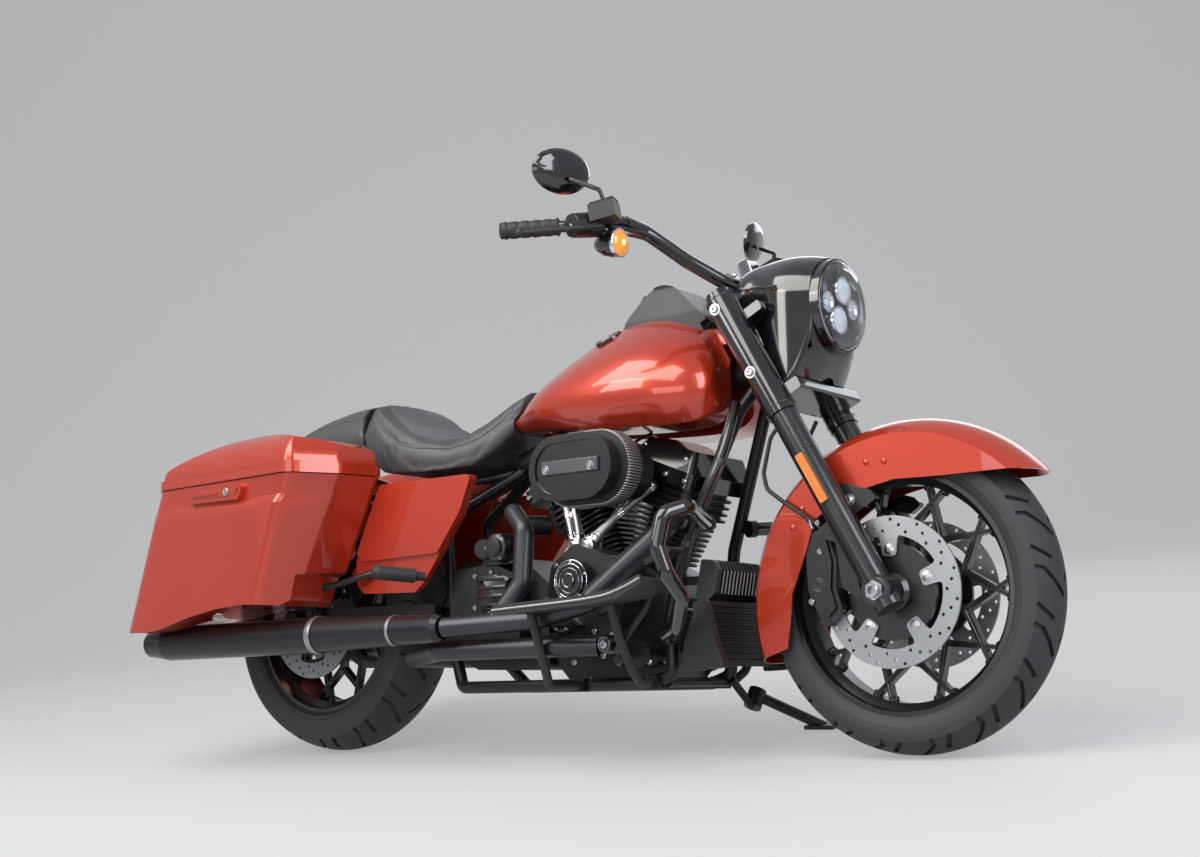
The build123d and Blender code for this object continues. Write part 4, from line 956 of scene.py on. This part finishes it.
def makeMirrorGlass(spec, side):
    out = onSide(spec["out"], side).normalized()
    along = onSide(spec["along"], side).normalized()
    turn = Matrix((along, out.cross(along), out)).transposed()
    bm = bmesh.new()
    place = (Matrix.Translation(onSide(spec["middle"], side) + out * spec["forward"]) @ turn.to_4x4()
             @ Matrix.Diagonal((*spec["half"], 1, 1)))
    bmesh.ops.create_cone(bm, cap_ends=True, segments=64, radius1=1, radius2=1, depth=spec["thick"], matrix=place)
    addPiece(sideWord(side) + "MirrorGlass", bm, "steering", "mirrorGlass", sharp=30)


switchSpec = dict(
    lid=(1122, 336, 1152), lidSize=(54, 40, 3), lidYaw=-18, lidPitch=-10, screwOff=(21, 14), screwUp=1.4,
    ringOff=(30, 0, -16), inner=(1092, 313, 1114), outer=(1066, 379, 1102),
    housing=[(0, 14), (0, 25), (3, 27), (30, 27), (33, 25.5), (36, 27), (66, 26), (70, 22), (70, 14)],
    blockShare=0.45, blockOff=(-24, 0, -6), blockSize=(22, 34, 26),
    buttons=((0.2, 9), (0.55, 12)),  # share of the way out, width
    buttonOff=(-36, 0, -4), buttonDeep=6, buttonHigh=9)


def makeSwitches(spec, side):
    word = sideWord(side)
    housing, buttons, screws = newMeshes(3)
    turn = (Matrix.Rotation(radians(spec["lidYaw"] * side), 3, "Z")
            @ Matrix.Rotation(radians(spec["lidPitch"]), 3, "Y"))
    lid = onSide(spec["lid"], side)
    addBox(housing, lid, spec["lidSize"], turn, bevel=1)
    dx, dy = spec["screwOff"]
    for off in ((-dx, -dy), (dx, -dy), (-dx, dy), (dx, dy)):
        addBolt(screws, lid + turn @ Vector((*off, spec["screwUp"])), turn @ Vector((0, 0, 1)), 3, 2)
    inner, outer = onSide(spec["inner"], side), onSide(spec["outer"], side)
    run = (outer - inner).normalized()
    addLathe(housing, inner, outer, spec["housing"], steps=36)
    addBox(housing, inner.lerp(outer, spec["blockShare"]) + Vector(spec["blockOff"]), spec["blockSize"],
           Matrix((ahead, run, ahead.cross(run))).transposed(), bevel=4)
    for share, width in spec["buttons"]:
        addBox(buttons, inner.lerp(outer, share) + Vector(spec["buttonOff"]),
               (spec["buttonDeep"], width, spec["buttonHigh"]), bevel=2)
    addRing(screws, lid + Vector(spec["ringOff"]), turn @ ahead, 8, 1.2, steps=24)
    addPiece(word + "SwitchHousing", housing, "steering", "satinBlack")
    addPiece(word + "SwitchButtons", buttons, "steering", "softRubber")
    addPiece(word + "LidScrews", screws, "steering", "zincBolt")


barCables = (  # radius, route from the controls to the nacelle
    (4.5, [(1118, 308, 1106), (1130, 262, 1108), (1150, 200, 1104), (1206, 128, 1044), (1254, 72, 1004),
           (1290, 52, 990), (1304, 46, 982)]),
    (3.2, [(1104, 318, 1098), (1122, 262, 1098), (1144, 198, 1094), (1200, 124, 1034), (1250, 66, 994),
           (1286, 46, 980), (1302, 40, 970)]))


def makeBarCables(side):
    bm = bmesh.new()
    for radius, route in barCables:
        addTube(bm, [onSide(spot, side) for spot in route], radius)
    addPiece(sideWord(side) + "BarCables", bm, "steering", "softRubber")


gripSpec = dict(start=(1064, 384, 1100), toward=(955, 446, 1098), length=139,
                cap=[(0, 0), (0, 17.5), (3, 18.4), (6, 16), (7, 0)])


def makeGripCap(spec, side):
    start = onSide(spec["start"], side)
    tip = start + (onSide(spec["toward"], side) - start).normalized() * spec["length"]
    turnedPiece(sideWord(side) + "GripCap", tip, tip - start, spec["cap"], 32, "steering", "castGrey")


for side in bothSides:
    makeMirrorGlass(mirrorSpec, side)
    makeSwitches(switchSpec, side)
    makeBarCables(side)
    makeGripCap(gripSpec, side)
print("bars dressed")


# front end: fork bolts, fender rivets, calipers and axle ends
rake = radians(29.25)
forkRun = Vector((-sin(rake), 0, cos(rake)))
forkSpec = dict(boltY=156.4, bolts=((1276, 928), (1359, 782)), collarY=125,
                washer=[(-2, 0), (-2, 13.5), (1.4, 13.5), (2.2, 12.5), (2.2, 0)],
                collars=((694.5, 31.8), (704, 33.2), (951, 33.2)))  # height, radius
fenderSpec = dict(rivetSpan=(82.5, 90), rivets=((1580, 581), (1620, 579), (1428, 498), (1405, 461)),
                  rivet=[(0, 0), (0, 7), (3, 6.4), (5, 4), (6, 0)], stay=(1551, 505), staySpan=(103.5, 110),
                  stayCup=[(0, 0), (0, 12), (2.5, 12), (2.5, 9), (3, 8.5), (3, 0)], stayBoltY=106.5)
caliperSpec = dict(
    boltY=114.5, bolts=((1485, 405), (1534, 381), (1462, 306), (1483, 463), (1496, 438)), faceSpan=(110, 116.4),
    face=((1476, 436), (1497, 428), (1508, 384), (1504, 330), (1514, 292), (1498, 276), (1480, 286),
          (1462, 334), (1460, 396)),
    tabSpan=(91, 110), tab=[(1474, 262), (1496, 256), (1516, 286), (1500, 276), (1484, 280)],
    ribs=5, ribStart=(1462, 99, 300), ribStep=(2.2, 0, 26), ribSize=(14, 20, 7),
    ringAt=(1480, 116.4, 338), rings=((12.5, 1.3, 36), (8.0, 0.9, 32)),  # radius, thickness, steps
    bleeder=((1468, 113, 452), (1462, 113, 470)))
axleSpec = dict(out=148.5, hexRadius=20, hexLong=10,
                hollow=[(0, 8.2), (0, 13.5), (9, 13.5), (10.5, 12), (10.5, 8.4), (0, 8.2)],
                washer=[(-1, 21), (-1, 25.5), (1.5, 25.5), (2.5, 24), (2.5, 21), (-1, 21)])


def forkX(z):
    # the fork legs' line, seen from the side
    return wheelbase - (z - frontHub.z) * sin(rake) / cos(rake)


def dressFender(bolts, rivets, side, out):
    spec = fenderSpec
    y0, y1 = spec["rivetSpan"]
    for x, z in spec["rivets"]:
        addLathe(rivets, (x, side * y0, z), (x, side * y1, z), spec["rivet"], steps=20)
    (x, z), (y0, y1) = spec["stay"], spec["staySpan"]
    addLathe(bolts, (x, side * y0, z), (x, side * y1, z), spec["stayCup"], steps=32)
    addBolt(bolts, (x, side * spec["stayBoltY"], z), out, 7.5, 6)


def dressCaliper(bolts, plates, rims, side, out):
    spec = caliperSpec
    for x, z in spec["bolts"]:
        addBolt(bolts, (x, side * spec["boltY"], z), out, 6.5, 5.5)
    addPlate(plates, spec["face"], *(side * y for y in spec["faceSpan"]), bevel=2.4, segments=3)
    addPlate(plates, spec["tab"], *(side * y for y in spec["tabSpan"]))
    for index in range(spec["ribs"]):
        spot = Vector(spec["ribStart"]) + Vector(spec["ribStep"]) * index
        addBox(plates, onSide(spot, side), spec["ribSize"], bevel=2)
    for radius, thick, steps in spec["rings"]:
        addRing(rims, onSide(spec["ringAt"], side), out, radius, thick, steps=steps)
    low, high = (onSide(end, side) for end in spec["bleeder"])
    addRod(bolts, low, high, 4.5, 3.0, segments=12)


def dressForkAndAxle(bolts, rims, side, out):
    hub = frontHub + out * axleSpec["out"]
    end = hub + out * axleSpec["hexLong"]
    addRod(bolts, hub, end, axleSpec["hexRadius"], segments=6)
    addLathe(bolts, end, end + out, axleSpec["hollow"], steps=32)
    addLathe(rims, hub, hub + out, axleSpec["washer"], steps=36)
    for z, radius in forkSpec["collars"]:
        addRing(rims, (forkX(z), side * forkSpec["collarY"], z), forkRun, radius, 1.1, steps=48)


bolts, rivets, plates, rims = newMeshes(4)
for side in bothSides:
    out = Vector((0, side, 0))
    for x, z in forkSpec["bolts"]:
        spot = Vector((x, side * forkSpec["boltY"], z))
        addLathe(bolts, spot, spot + out, forkSpec["washer"], steps=32)
        addBolt(bolts, spot + out * 2.2, out, 9.0, 5.0)
    dressFender(bolts, rivets, side, out)
    dressCaliper(bolts, plates, rims, side, out)
    dressForkAndAxle(bolts, rims, side, out)
addPiece("forkBolts", bolts, "steering", "zincBolt")
addPiece("fenderRivets", rivets, "steering", "paint")
addPiece("caliperFaces", plates, "steering", "castBlack", sharp=18)
addPiece("frontRims", rims, "steering", "bandGrey")
print("front end dressed")


# wheels: rim bosses where the spokes land, valve stems, and a ridge along each spoke
wheelSpecs = {"front": dict(hub=frontHub, reach=217.0, bead=240.0, body="front_wheel"),
              "rear": dict(hub=rearHub, reach=205.0, bead=228.0, body="rear_wheel")}
spokeSpec = dict(pairs=10, spread=5.05, bossDeep=10, valveAngle=1.9, valveY=12, crossing=0.775, apex=0.52,
                 rest=0.225, short=24, ridgeY=10.6, ridgeSize=(3.6, 3.4),
                 boss=[(0, 0), (0, 7), (4, 9.5), (12, 11), (16, 11), (16, 0)],
                 valve=[(0, 0), (0, 6), (4, 6), (6, 4), (26, 4), (26, 5.2), (38, 5.2), (39, 4), (39, 0)])


def aboutAxle(angle):
    # unit vector about the axle
    return Vector((cos(angle), 0, sin(angle)))


def makeBosses(name, wheel):
    hub, reach = wheel["hub"], wheel["reach"]
    bm = bmesh.new()
    for index in range(spokeSpec["pairs"]):
        for swing in bothSides:
            out = aboutAxle(radians(index * 360 / spokeSpec["pairs"] + swing * spokeSpec["spread"]))
            addLathe(bm, hub + out * (reach - spokeSpec["bossDeep"]), hub + out * reach, spokeSpec["boss"],
                     steps=20)
    addPiece(name + "RimBosses", bm, wheel["body"], "satinBlack")
    bm = bmesh.new()
    inset = Vector((0, spokeSpec["valveY"], 0))
    addLathe(bm, hub + aboutAxle(spokeSpec["valveAngle"]) * (reach + 2) - inset, hub - inset, spokeSpec["valve"],
             steps=20)
    addPiece(name + "Valve", bm, wheel["body"], "zincBolt")


def makeRidges(name, wheel):
    bead, step = wheel["bead"], 360 / spokeSpec["pairs"]
    across = Vector((0, 1, 0))
    bm = bmesh.new()
    for index in range(spokeSpec["pairs"]):
        for swing in bothSides:
            crossing = aboutAxle(radians(index * step)) * bead * spokeSpec["crossing"]
            apex = aboutAxle(radians(index * step + swing * step / 2)) * bead * spokeSpec["apex"]
            run = (crossing - apex).normalized()
            end = crossing + run * (bead * spokeSpec["rest"] - spokeSpec["short"])
            turn = Matrix((run, across, run.cross(across))).transposed()
            for side in bothSides:
                addBox(bm, wheel["hub"] + (apex + end) / 2 + across * side * spokeSpec["ridgeY"],
                       ((end - apex).length, *spokeSpec["ridgeSize"]), turn, bevel=1.1, segments=1)
    addPiece(name + "SpokeRidges", bm, wheel["body"], "castBlack")


for name, wheel in wheelSpecs.items():
    makeBosses(name, wheel)


# bags: latches with their locks, and the rails under them
bagSpec = dict(
    hinge=(-110, 413, 0), flare=4.2, lockAt=(46, 11.3, 623),
    plates=(([(-104, 612), (82, 608), (103, 635), (-97, 640)], 6, (8, 11.5)),  # corners, rounding, span in y
            ([(-90, 618), (14, 616), (18, 630), (-86, 634)], 4, (11, 14.5))),
    lock=[(-1, 0), (-1, 9.5), (2.2, 9.5), (3, 8.5), (3, 6.5), (1.6, 6), (1.6, 0)], slot=(1.6, 0.8, 7),
    rail=[(20, 262, 366), (90, 258, 380), (150, 256, 392), (240, 244, 400), (300, 235, 415), (330, 214, 424)],
    railRadius=8)
latches, locks, rails = newMeshes(3)
for side in bothSides:
    x, y, z = bagSpec["hinge"]
    flare = (Matrix.Translation((x, side * y, z)) @ Matrix.Rotation(radians(bagSpec["flare"] * side), 4, "Z")
             @ Matrix.Translation((-x, 0, 0)))
    for corners, radius, span in bagSpec["plates"]:
        addPlate(latches, roundedOutline(corners, radius), *(side * y for y in span), bevel=1.6, frameTurn=flare)
    spot, out = flare @ onSide(bagSpec["lockAt"], side), flare.to_3x3() @ Vector((0, side, 0))
    addLathe(locks, spot, spot + out, bagSpec["lock"], steps=32)
    addBox(locks, spot + out * 1.8, bagSpec["slot"], flare.to_3x3())
    addTube(rails, [onSide(spot, side) for spot in bagSpec["rail"]], bagSpec["railRadius"])
addPiece("bagLatches", latches, "chassis", "paint", sharp=18)
addPiece("bagLocks", locks, "chassis", "zincBolt")
addPiece("bagRails", rails, "chassis", "satinBlack")
print("bags dressed")


# exhaust: bright clamp bands, near-black tips with painted shade in their hollow; footboard edges, regulator fins
canSpec = dict(start=(615, 290, 281.3), end=(-404, 290, 275.5), tipBack=26,
               bands=((388, 72, [(0, 43), (0, 44.6), (2, 45.2), (15, 45.2), (17, 44.6), (17, 43)]),
                      (138, 64, [(0, 34.2), (0, 36), (9, 36), (9, 34.2)])),  # distance back, steps, profile
               tip=[(0, 0), (0, 32.2), (26.2, 30.6), (26.2, 26), (4, 24), (4, 0)])
boardSpec = dict(lip=[(856, 397, 307), (980, 397, 312.5), (1100, 397, 318), (1182, 397, 328), (1241, 397, 354)],
                 lipRadius=2.6, ribs=17, ribStart=880, ribPitch=13.4, ribY=331, ribSize=(5, 104, 4),
                 level=325.3, slope=0.0462, slopeFrom=1100)
bands, tips, lips, ribs = newMeshes(4)
for side in bothSides:
    start, end = onSide(canSpec["start"], side), onSide(canSpec["end"], side)
    run = (end - start).normalized()
    for back, steps, profile in canSpec["bands"]:
        addLathe(bands, start + run * back, end, profile, steps=steps)
    addLathe(tips, end - run * canSpec["tipBack"], end, canSpec["tip"], steps=64)
    addTube(lips, [onSide(spot, side) for spot in boardSpec["lip"]], boardSpec["lipRadius"])
    for index in range(boardSpec["ribs"]):
        x = boardSpec["ribStart"] + index * boardSpec["ribPitch"]
        z = boardSpec["level"] - (boardSpec["slopeFrom"] - x) * boardSpec["slope"]
        addBox(ribs, (x, side * boardSpec["ribY"], z), boardSpec["ribSize"], bevel=1.2)
addPiece("mufflerBands", bands, "chassis", "brushedSteel")
# the tips' near-black is painted shade for the hollow inside
addPiece("mufflerTips", tips, "chassis", "blackAndPaintedShade")
addPiece("footboardLips", lips, "chassis", "brushedSteel")
addPiece("footboardRibs", ribs, "chassis", "softRubber")

regulatorSpec = dict(at=(1176, 0, 368.5), pitch=11.5, out=46.2, count=12, start=-71.5, step=13, size=(1.6, 4.6, 50))
bm = bmesh.new()
finTurn = Matrix.Translation(regulatorSpec["at"]) @ Matrix.Rotation(radians(regulatorSpec["pitch"]), 4, "Y")
for index in range(regulatorSpec["count"]):
    spot = finTurn @ Vector((regulatorSpec["out"], regulatorSpec["start"] + index * regulatorSpec["step"], 0))
    addBox(bm, spot, regulatorSpec["size"], finTurn.to_3x3(), bevel=0.7, segments=1)
addPiece("regulatorFinTips", bm, "chassis", "brushedSteel")


# left side: primary cover's round lids and bolts
primarySpec = dict(
    lidY=230, lids=((668, 296, 62), (938, 274, 40)),  # x, z, radius
    lidBolts=5, lidBoltY=238.6, boltY=204.6,
    bolts=((572, 262), (590, 216), (680, 203), (800, 195), (920, 187), (1012, 188), (1061, 236), (1062, 296),
           (1014, 342), (900, 362), (790, 375), (690, 385), (598, 370), (568, 326)))
lids, bolts = newMeshes(2)
for x, z, radius in primarySpec["lids"]:
    at = Vector((x, primarySpec["lidY"], z))
    addLathe(lids, at, at + Vector((0, 1, 0)), [(0, 0), (0, radius), (5, radius), (9, radius - 4), (9, radius - 12),
                                                (7.5, radius - 14), (7.5, 0)], steps=64)
    for index in range(primarySpec["lidBolts"]):
        angle = radians(index * 360 / primarySpec["lidBolts"] + 18)
        addBolt(bolts, (x + (radius - 8) * cos(angle), primarySpec["lidBoltY"], z + (radius - 8) * sin(angle)),
                (0, 1, 0), 5, 3.6)
for x, z in primarySpec["bolts"]:
    addBolt(bolts, (x, primarySpec["boltY"], z), (0, 1, 0), 6, 5)
addPiece("primaryLids", lids, "chassis", "glossBlack")
addPiece("primaryBolts", bolts, "chassis", "zincBolt")


# right side: sleeves along the downtube, and the brake pedal's shaft
sleeveSpec = dict(
    sleeves=((10, [(1262, -66, 742), (1262, -84, 690), (1240, -100, 610), (1193, -110, 522), (1150, -112, 430),
                   (1140, -110, 380)]),
             (5, [(1250, -58, 744), (1244, -78, 690), (1222, -92, 612), (1178, -100, 526), (1140, -102, 440)])),
    clamps=(((1244, -98, 620), (1232, -102, 596), 12.4, 14), ((1160, -112, 450), (1154, -112, 436), 12.2, 12)))
sleeves, clamps = newMeshes(2)
for radius, route in sleeveSpec["sleeves"]:
    addTube(sleeves, route, radius)
for start, end, radius, length in sleeveSpec["clamps"]:
    addLathe(clamps, start, end, [(0, 10), (0, radius), (length, radius), (length, 10)], steps=32)
addPiece("cableCover", sleeves, "chassis", "castBlack")
addPiece("cableClamps", clamps, "chassis", "bandGrey")

shaftSpec = dict(
    turned=(((1035, -196, 233), 40, [(0, 0), (0, 20), (46, 20), (52, 17), (52, 0)]),  # start, steps, profile
            ((1010, -140, 206), 32, [(0, 0), (0, 16), (24, 16), (28, 13), (28, 0)])),
    ringAt=(1035, -247, 233), boltAt=(1035, -247.5, 233),
    caseBolts=((960, -150.5, 212), (1002, -150.5, 196), (1034, -150.5, 184), (1076, -142, 196),
               (1052, -142, 160), (880, -150.5, 200)))
toRight = Vector((0, -1, 0))
shaft, bolts = newMeshes(2)
for start, steps, profile in shaftSpec["turned"]:
    addLathe(shaft, start, Vector(start) + toRight, profile, steps=steps)
addRing(bolts, shaftSpec["ringAt"], toRight, 14.5, 1.2, steps=36)
addBolt(bolts, shaftSpec["boltAt"], toRight, 9.5, 5)
for spot in shaftSpec["caseBolts"]:
    addBolt(bolts, spot, toRight, 7, 6)
addPiece("brakeShaft", shaft, "chassis", "castBlack")
addPiece("brakeShaftBolts", bolts, "chassis", "zincBolt")
print("sides dressed")


# cockpit: speedometer on the console, flush caps on the tank
cockpit = surfaceOf("console", "fuel_tank")
dialSpec = dict(
    at=(1018, 0), rim=[(-6, 0), (-6, 45), (4, 45), (6.5, 42), (6.5, 38), (3, 37), (3, 0)],
    glass=[(0, 0), (0, 37), (0.8, 36), (0.8, 0)], glassSpan=(3.2, 5), marks=31, sweep=280, markOut=31,
    markUp=4.2, longMark=6, shortMark=3.4, markSize=(0.9, 0.5), lampUp=4.6, lampOut=10, lampSize=(3, 2.4, 0.8))
capSpec = dict(at=(930, 74), ringUp=1.2, ringRadius=34.6,
               cap=[(-5, 0), (-5, 34), (2.5, 34), (4.5, 32), (5.2, 24), (5.6, 0)])


def onTop(x, y):
    # point and normal of the surface seen from above
    spot, normal, _, _ = cockpit.ray_cast(Vector((x, y, 1250)), Vector((0, 0, -1)))
    return spot, normal if normal.z > 0 else -normal


rims, glass, marks = newMeshes(3)
spot, up = onTop(*dialSpec["at"])
low, high = dialSpec["glassSpan"]
addLathe(rims, spot, spot + up, dialSpec["rim"], steps=72)
addLathe(glass, spot + up * low, spot + up * high, dialSpec["glass"], steps=64)
across = up.orthogonal().normalized()
for index in range(dialSpec["marks"]):
    angle = radians(index * dialSpec["sweep"] / (dialSpec["marks"] - 1) - dialSpec["sweep"] / 2)
    out = across * cos(angle) + up.cross(across) * sin(angle)
    length = dialSpec["longMark"] if index % 3 == 0 else dialSpec["shortMark"]
    addBox(marks, spot + up * dialSpec["markUp"] + out * dialSpec["markOut"], (length, *dialSpec["markSize"]),
           Matrix((out, up.cross(out), up)).transposed())
addBox(marks, spot + up * dialSpec["lampUp"] + across * dialSpec["lampOut"], dialSpec["lampSize"])
for side in bothSides:
    at, out = onTop(capSpec["at"][0], side * capSpec["at"][1])
    addLathe(rims, at, at + out, capSpec["cap"], steps=64)
    addRing(marks, at + out * capSpec["ringUp"], out, capSpec["ringRadius"], 1.0, steps=64)
addPiece("dialRims", rims, "chassis", "glossBlack")
addPiece("dialGlass", glass, "chassis", "blackAndPaintedShade")
addPiece("dialMarks", marks, "chassis", "filterPleat")
print("cockpit dressed")


# brake master cylinder and linkage, bar clamp bolts, cooler fins, rear caliper
brakeSpec = dict(
    cylinder=((938, -206, 246), (840, -206, 252)),
    profile=[(0, 0), (0, 10), (4, 15), (52, 15), (54, 12), (78, 12), (80, 8), (96, 8), (96, 0)],
    rod=((1035, -214, 252), (936, -206, 246)), arm=dict(at=(1034, -214, 244), size=(22, 10, 30)),
    cap=dict(at=(898, -206, 270), size=(34, 24, 18)), boltY=-218.2, bolts=((885, 270), (911, 270), (1034, 254)))
rearCaliperSpec = dict(boltY=-131.5, bolts=((96, 414), (134, 394)), span=(-131, -136),
                       face=[(92, 388), (128, 376), (144, 408), (112, 434), (90, 420)])
barClamp = dict(x=1240, y=41, z=1026, half=13)
coolerSpec = dict(at=(1237, 0, 188), count=21, step=6.4, size=(2.4, 286, 1.4))
master, bolts, clamps, fins, face = newMeshes(5)
addLathe(master, *brakeSpec["cylinder"], brakeSpec["profile"], steps=32)
addRod(master, *brakeSpec["rod"], 4.5, segments=16)
addBox(master, brakeSpec["arm"]["at"], brakeSpec["arm"]["size"], bevel=3)
addBox(master, brakeSpec["cap"]["at"], brakeSpec["cap"]["size"], bevel=5, segments=3)
for x, z in brakeSpec["bolts"]:
    addBolt(bolts, (x, brakeSpec["boltY"], z), toRight, 4.5, 3.5)
for x, z in rearCaliperSpec["bolts"]:
    addBolt(bolts, (x, rearCaliperSpec["boltY"], z), toRight, 7, 5)
for side in bothSides:
    for end in bothSides:
        addBolt(clamps, (barClamp["x"] + end * barClamp["half"], side * barClamp["y"], barClamp["z"]), (0, 0, 1), 5, 6)
for index in range(coolerSpec["count"]):
    addBox(fins, Vector(coolerSpec["at"]) + Vector((0, 0, index * coolerSpec["step"])), coolerSpec["size"])
addPlate(face, rearCaliperSpec["face"], *rearCaliperSpec["span"], bevel=2)
addPiece("brakeMaster", master, "chassis", "castBlack")
addPiece("linkageBolts", bolts, "chassis", "zincBolt")
addPiece("barClampBolts", clamps, "steering", "zincBolt")
addPiece("coolerFins", fins, "chassis", "castGrey")
addPiece("rearCaliperFace", face, "chassis", "castBlack")
print("linkage made")

for name, wheel in wheelSpecs.items():
    makeRidges(name, wheel)
print("wheels dressed")


# stage, light and camera
stageSpec = dict(front=-16.0, back=7.0, height=7.0, bend=3.0, bendSteps=12, half=26.0, ambient=0.30,
                 paleness=0.34, backdrop=0.48)
view = dict(place=(3204.0, -3060.0, 127.0), yaw=127.65, pitch=9.0, roll=-0.94, focalPixels=1685.6, width=1200)


def seenRays(tree):
    # 1 for rays from the camera, reflected rays and rays through glass
    rays = node(tree, "ShaderNodeLightPath")
    seen = rays.outputs["Is Camera Ray"]
    for kind in ("Is Glossy Ray", "Is Transmission Ray"):
        either = node(tree, "ShaderNodeMath", operation="ADD", use_clamp=True)
        tree.links.new(seen, either.inputs[0])
        tree.links.new(rays.outputs[kind], either.inputs[1])
        seen = either.outputs["Value"]
    return seen


def makeCamera():
    cameraData = bpy.data.cameras.new("camera")
    cameraData.sensor_width = 36.0
    cameraData.lens = 36.0 * view["focalPixels"] / view["width"]
    cameraData.clip_end = 100
    camera = bpy.data.objects.new("camera", cameraData)
    bpy.context.scene.collection.objects.link(camera)
    yaw, pitch = radians(view["yaw"]), radians(view["pitch"])
    forward = Vector((cos(yaw) * cos(pitch), sin(yaw) * cos(pitch), sin(pitch)))
    aim = forward.to_track_quat("-Z", "Y").to_matrix() @ Matrix.Rotation(radians(view["roll"]), 3, "Z")
    lean = Matrix.Rotation(-leanAngle, 3, "X")
    camera.matrix_world = Matrix.Translation(machine @ Vector(view["place"])) @ (lean @ aim).to_4x4()
    bpy.context.scene.camera = camera
    return (lean @ forward) * Vector((1, 1, 0))


def makeFloor(heading):
    # floor and wall in one sweep, square to the view
    sideways = Vector((0, 0, 1)).cross(heading)
    bm = bmesh.new()
    profile = [(stageSpec["front"], 0.0), (stageSpec["back"] - stageSpec["bend"], 0.0)]
    for k in range(1, stageSpec["bendSteps"] + 1):
        angle = pi / 2 * k / stageSpec["bendSteps"]
        profile.append((stageSpec["back"] - stageSpec["bend"] + stageSpec["bend"] * sin(angle),
                        stageSpec["bend"] * (1 - cos(angle))))
    profile.append((stageSpec["back"], stageSpec["height"]))
    row = [bm.verts.new(heading * along + sideways * -stageSpec["half"] + Vector((0, 0, up))) for along, up in profile]
    edges = [bm.edges.new(pair) for pair in zip(row, row[1:])]
    grown = bmesh.ops.extrude_edge_only(bm, edges=edges)["geom"]
    moved = [part for part in grown if isinstance(part, bmesh.types.BMVert)]
    bmesh.ops.translate(bm, verts=moved, vec=sideways * stageSpec["half"] * 2)
    bmesh.ops.recalc_face_normals(bm, faces=bm.faces)
    for face in bm.faces:
        face.smooth = True
    mesh = bpy.data.meshes.new("studioFloor")
    bm.to_mesh(mesh)
    bm.free()
    studio = bpy.data.objects.new("studioFloor", mesh)
    bpy.context.scene.collection.objects.link(studio)
    floorMaterial = newFinish("paleFloor", dict(color=(0.30, 0.30, 0.305), rough=0.75, vary=0.02, cloudScale=0.6,
                                                bump=0.02, grainScale=60.0, depth=0.001))
    tree = floorMaterial.node_tree
    seen = seenRays(tree)
    pale = node(tree, "ShaderNodeMath", operation="MULTIPLY")
    pale.inputs[1].default_value = stageSpec["paleness"]
    tree.links.new(seen, pale.inputs[0])
    tree.nodes["Principled BSDF"].inputs["Emission Color"].default_value = (0.98, 0.98, 1.0, 1)
    tree.links.new(pale.outputs["Value"], tree.nodes["Principled BSDF"].inputs["Emission Strength"])
    mesh.materials.append(floorMaterial)


def makeAir():
    world = bpy.data.worlds.new("studioAir")
    bpy.context.scene.world = world
    world.use_nodes = True
    tree = world.node_tree
    for old in list(tree.nodes):
        tree.nodes.remove(old)
    out = node(tree, "ShaderNodeOutputWorld")
    soft = node(tree, "ShaderNodeBackground")
    soft.inputs["Color"].default_value = (0.93, 0.95, 1.0, 1)
    seen = seenRays(tree)
    level = node(tree, "ShaderNodeMapRange")
    level.inputs["To Min"].default_value = stageSpec["ambient"]
    level.inputs["To Max"].default_value = stageSpec["backdrop"]
    tree.links.new(seen, level.inputs["Value"])
    tree.links.new(level.outputs["Result"], soft.inputs["Strength"])
    tree.links.new(soft.outputs["Background"], out.inputs["Surface"])


# name, place in machine metres, target, size, power, colour
lamps = (
    ("keySoftbox", (0.2, -2.6, 3.4), (0.9, 0, 0.6), (4.2, 2.4), 158, (1.0, 0.97, 0.93)),
    ("frontStrip", (4.2, -1.2, 1.9), (1.2, 0, 0.6), (1.3, 2.6), 62, (0.95, 0.97, 1.0)),
    ("rearStrip", (-1.3, -3.7, 2.3), (0.0, 0, 0.5), (1.6, 1.6), 52, (1.0, 0.96, 0.92)),
    ("farRim", (0.4, 3.4, 2.8), (0.8, 0, 0.8), (4.0, 1.2), 26, (0.92, 0.96, 1.0)),
    ("lowFill", (1.6, -3.6, 0.7), (1.0, 0, 0.4), (3.0, 1.0), 22, (1.0, 1.0, 1.0)),
)


def makeLamps():
    for name, place, target, size, power, color in lamps:
        lampData = bpy.data.lights.new(name, "AREA")
        lampData.shape = "RECTANGLE"
        lampData.size, lampData.size_y = size
        lampData.energy = power
        lampData.color = color
        lamp = bpy.data.objects.new(name, lampData)
        bpy.context.scene.collection.objects.link(lamp)
        place, target = (machine @ (Vector(spot) * 1000) for spot in (place, target))
        lamp.matrix_world = Matrix.Translation(place) @ (target - place).to_track_quat("-Z", "Y").to_matrix().to_4x4()


heading = makeCamera()
heading.normalize()
makeFloor(heading)
makeAir()
makeLamps()
bpy.context.scene.view_settings.view_transform = "Standard"
print("stage set")
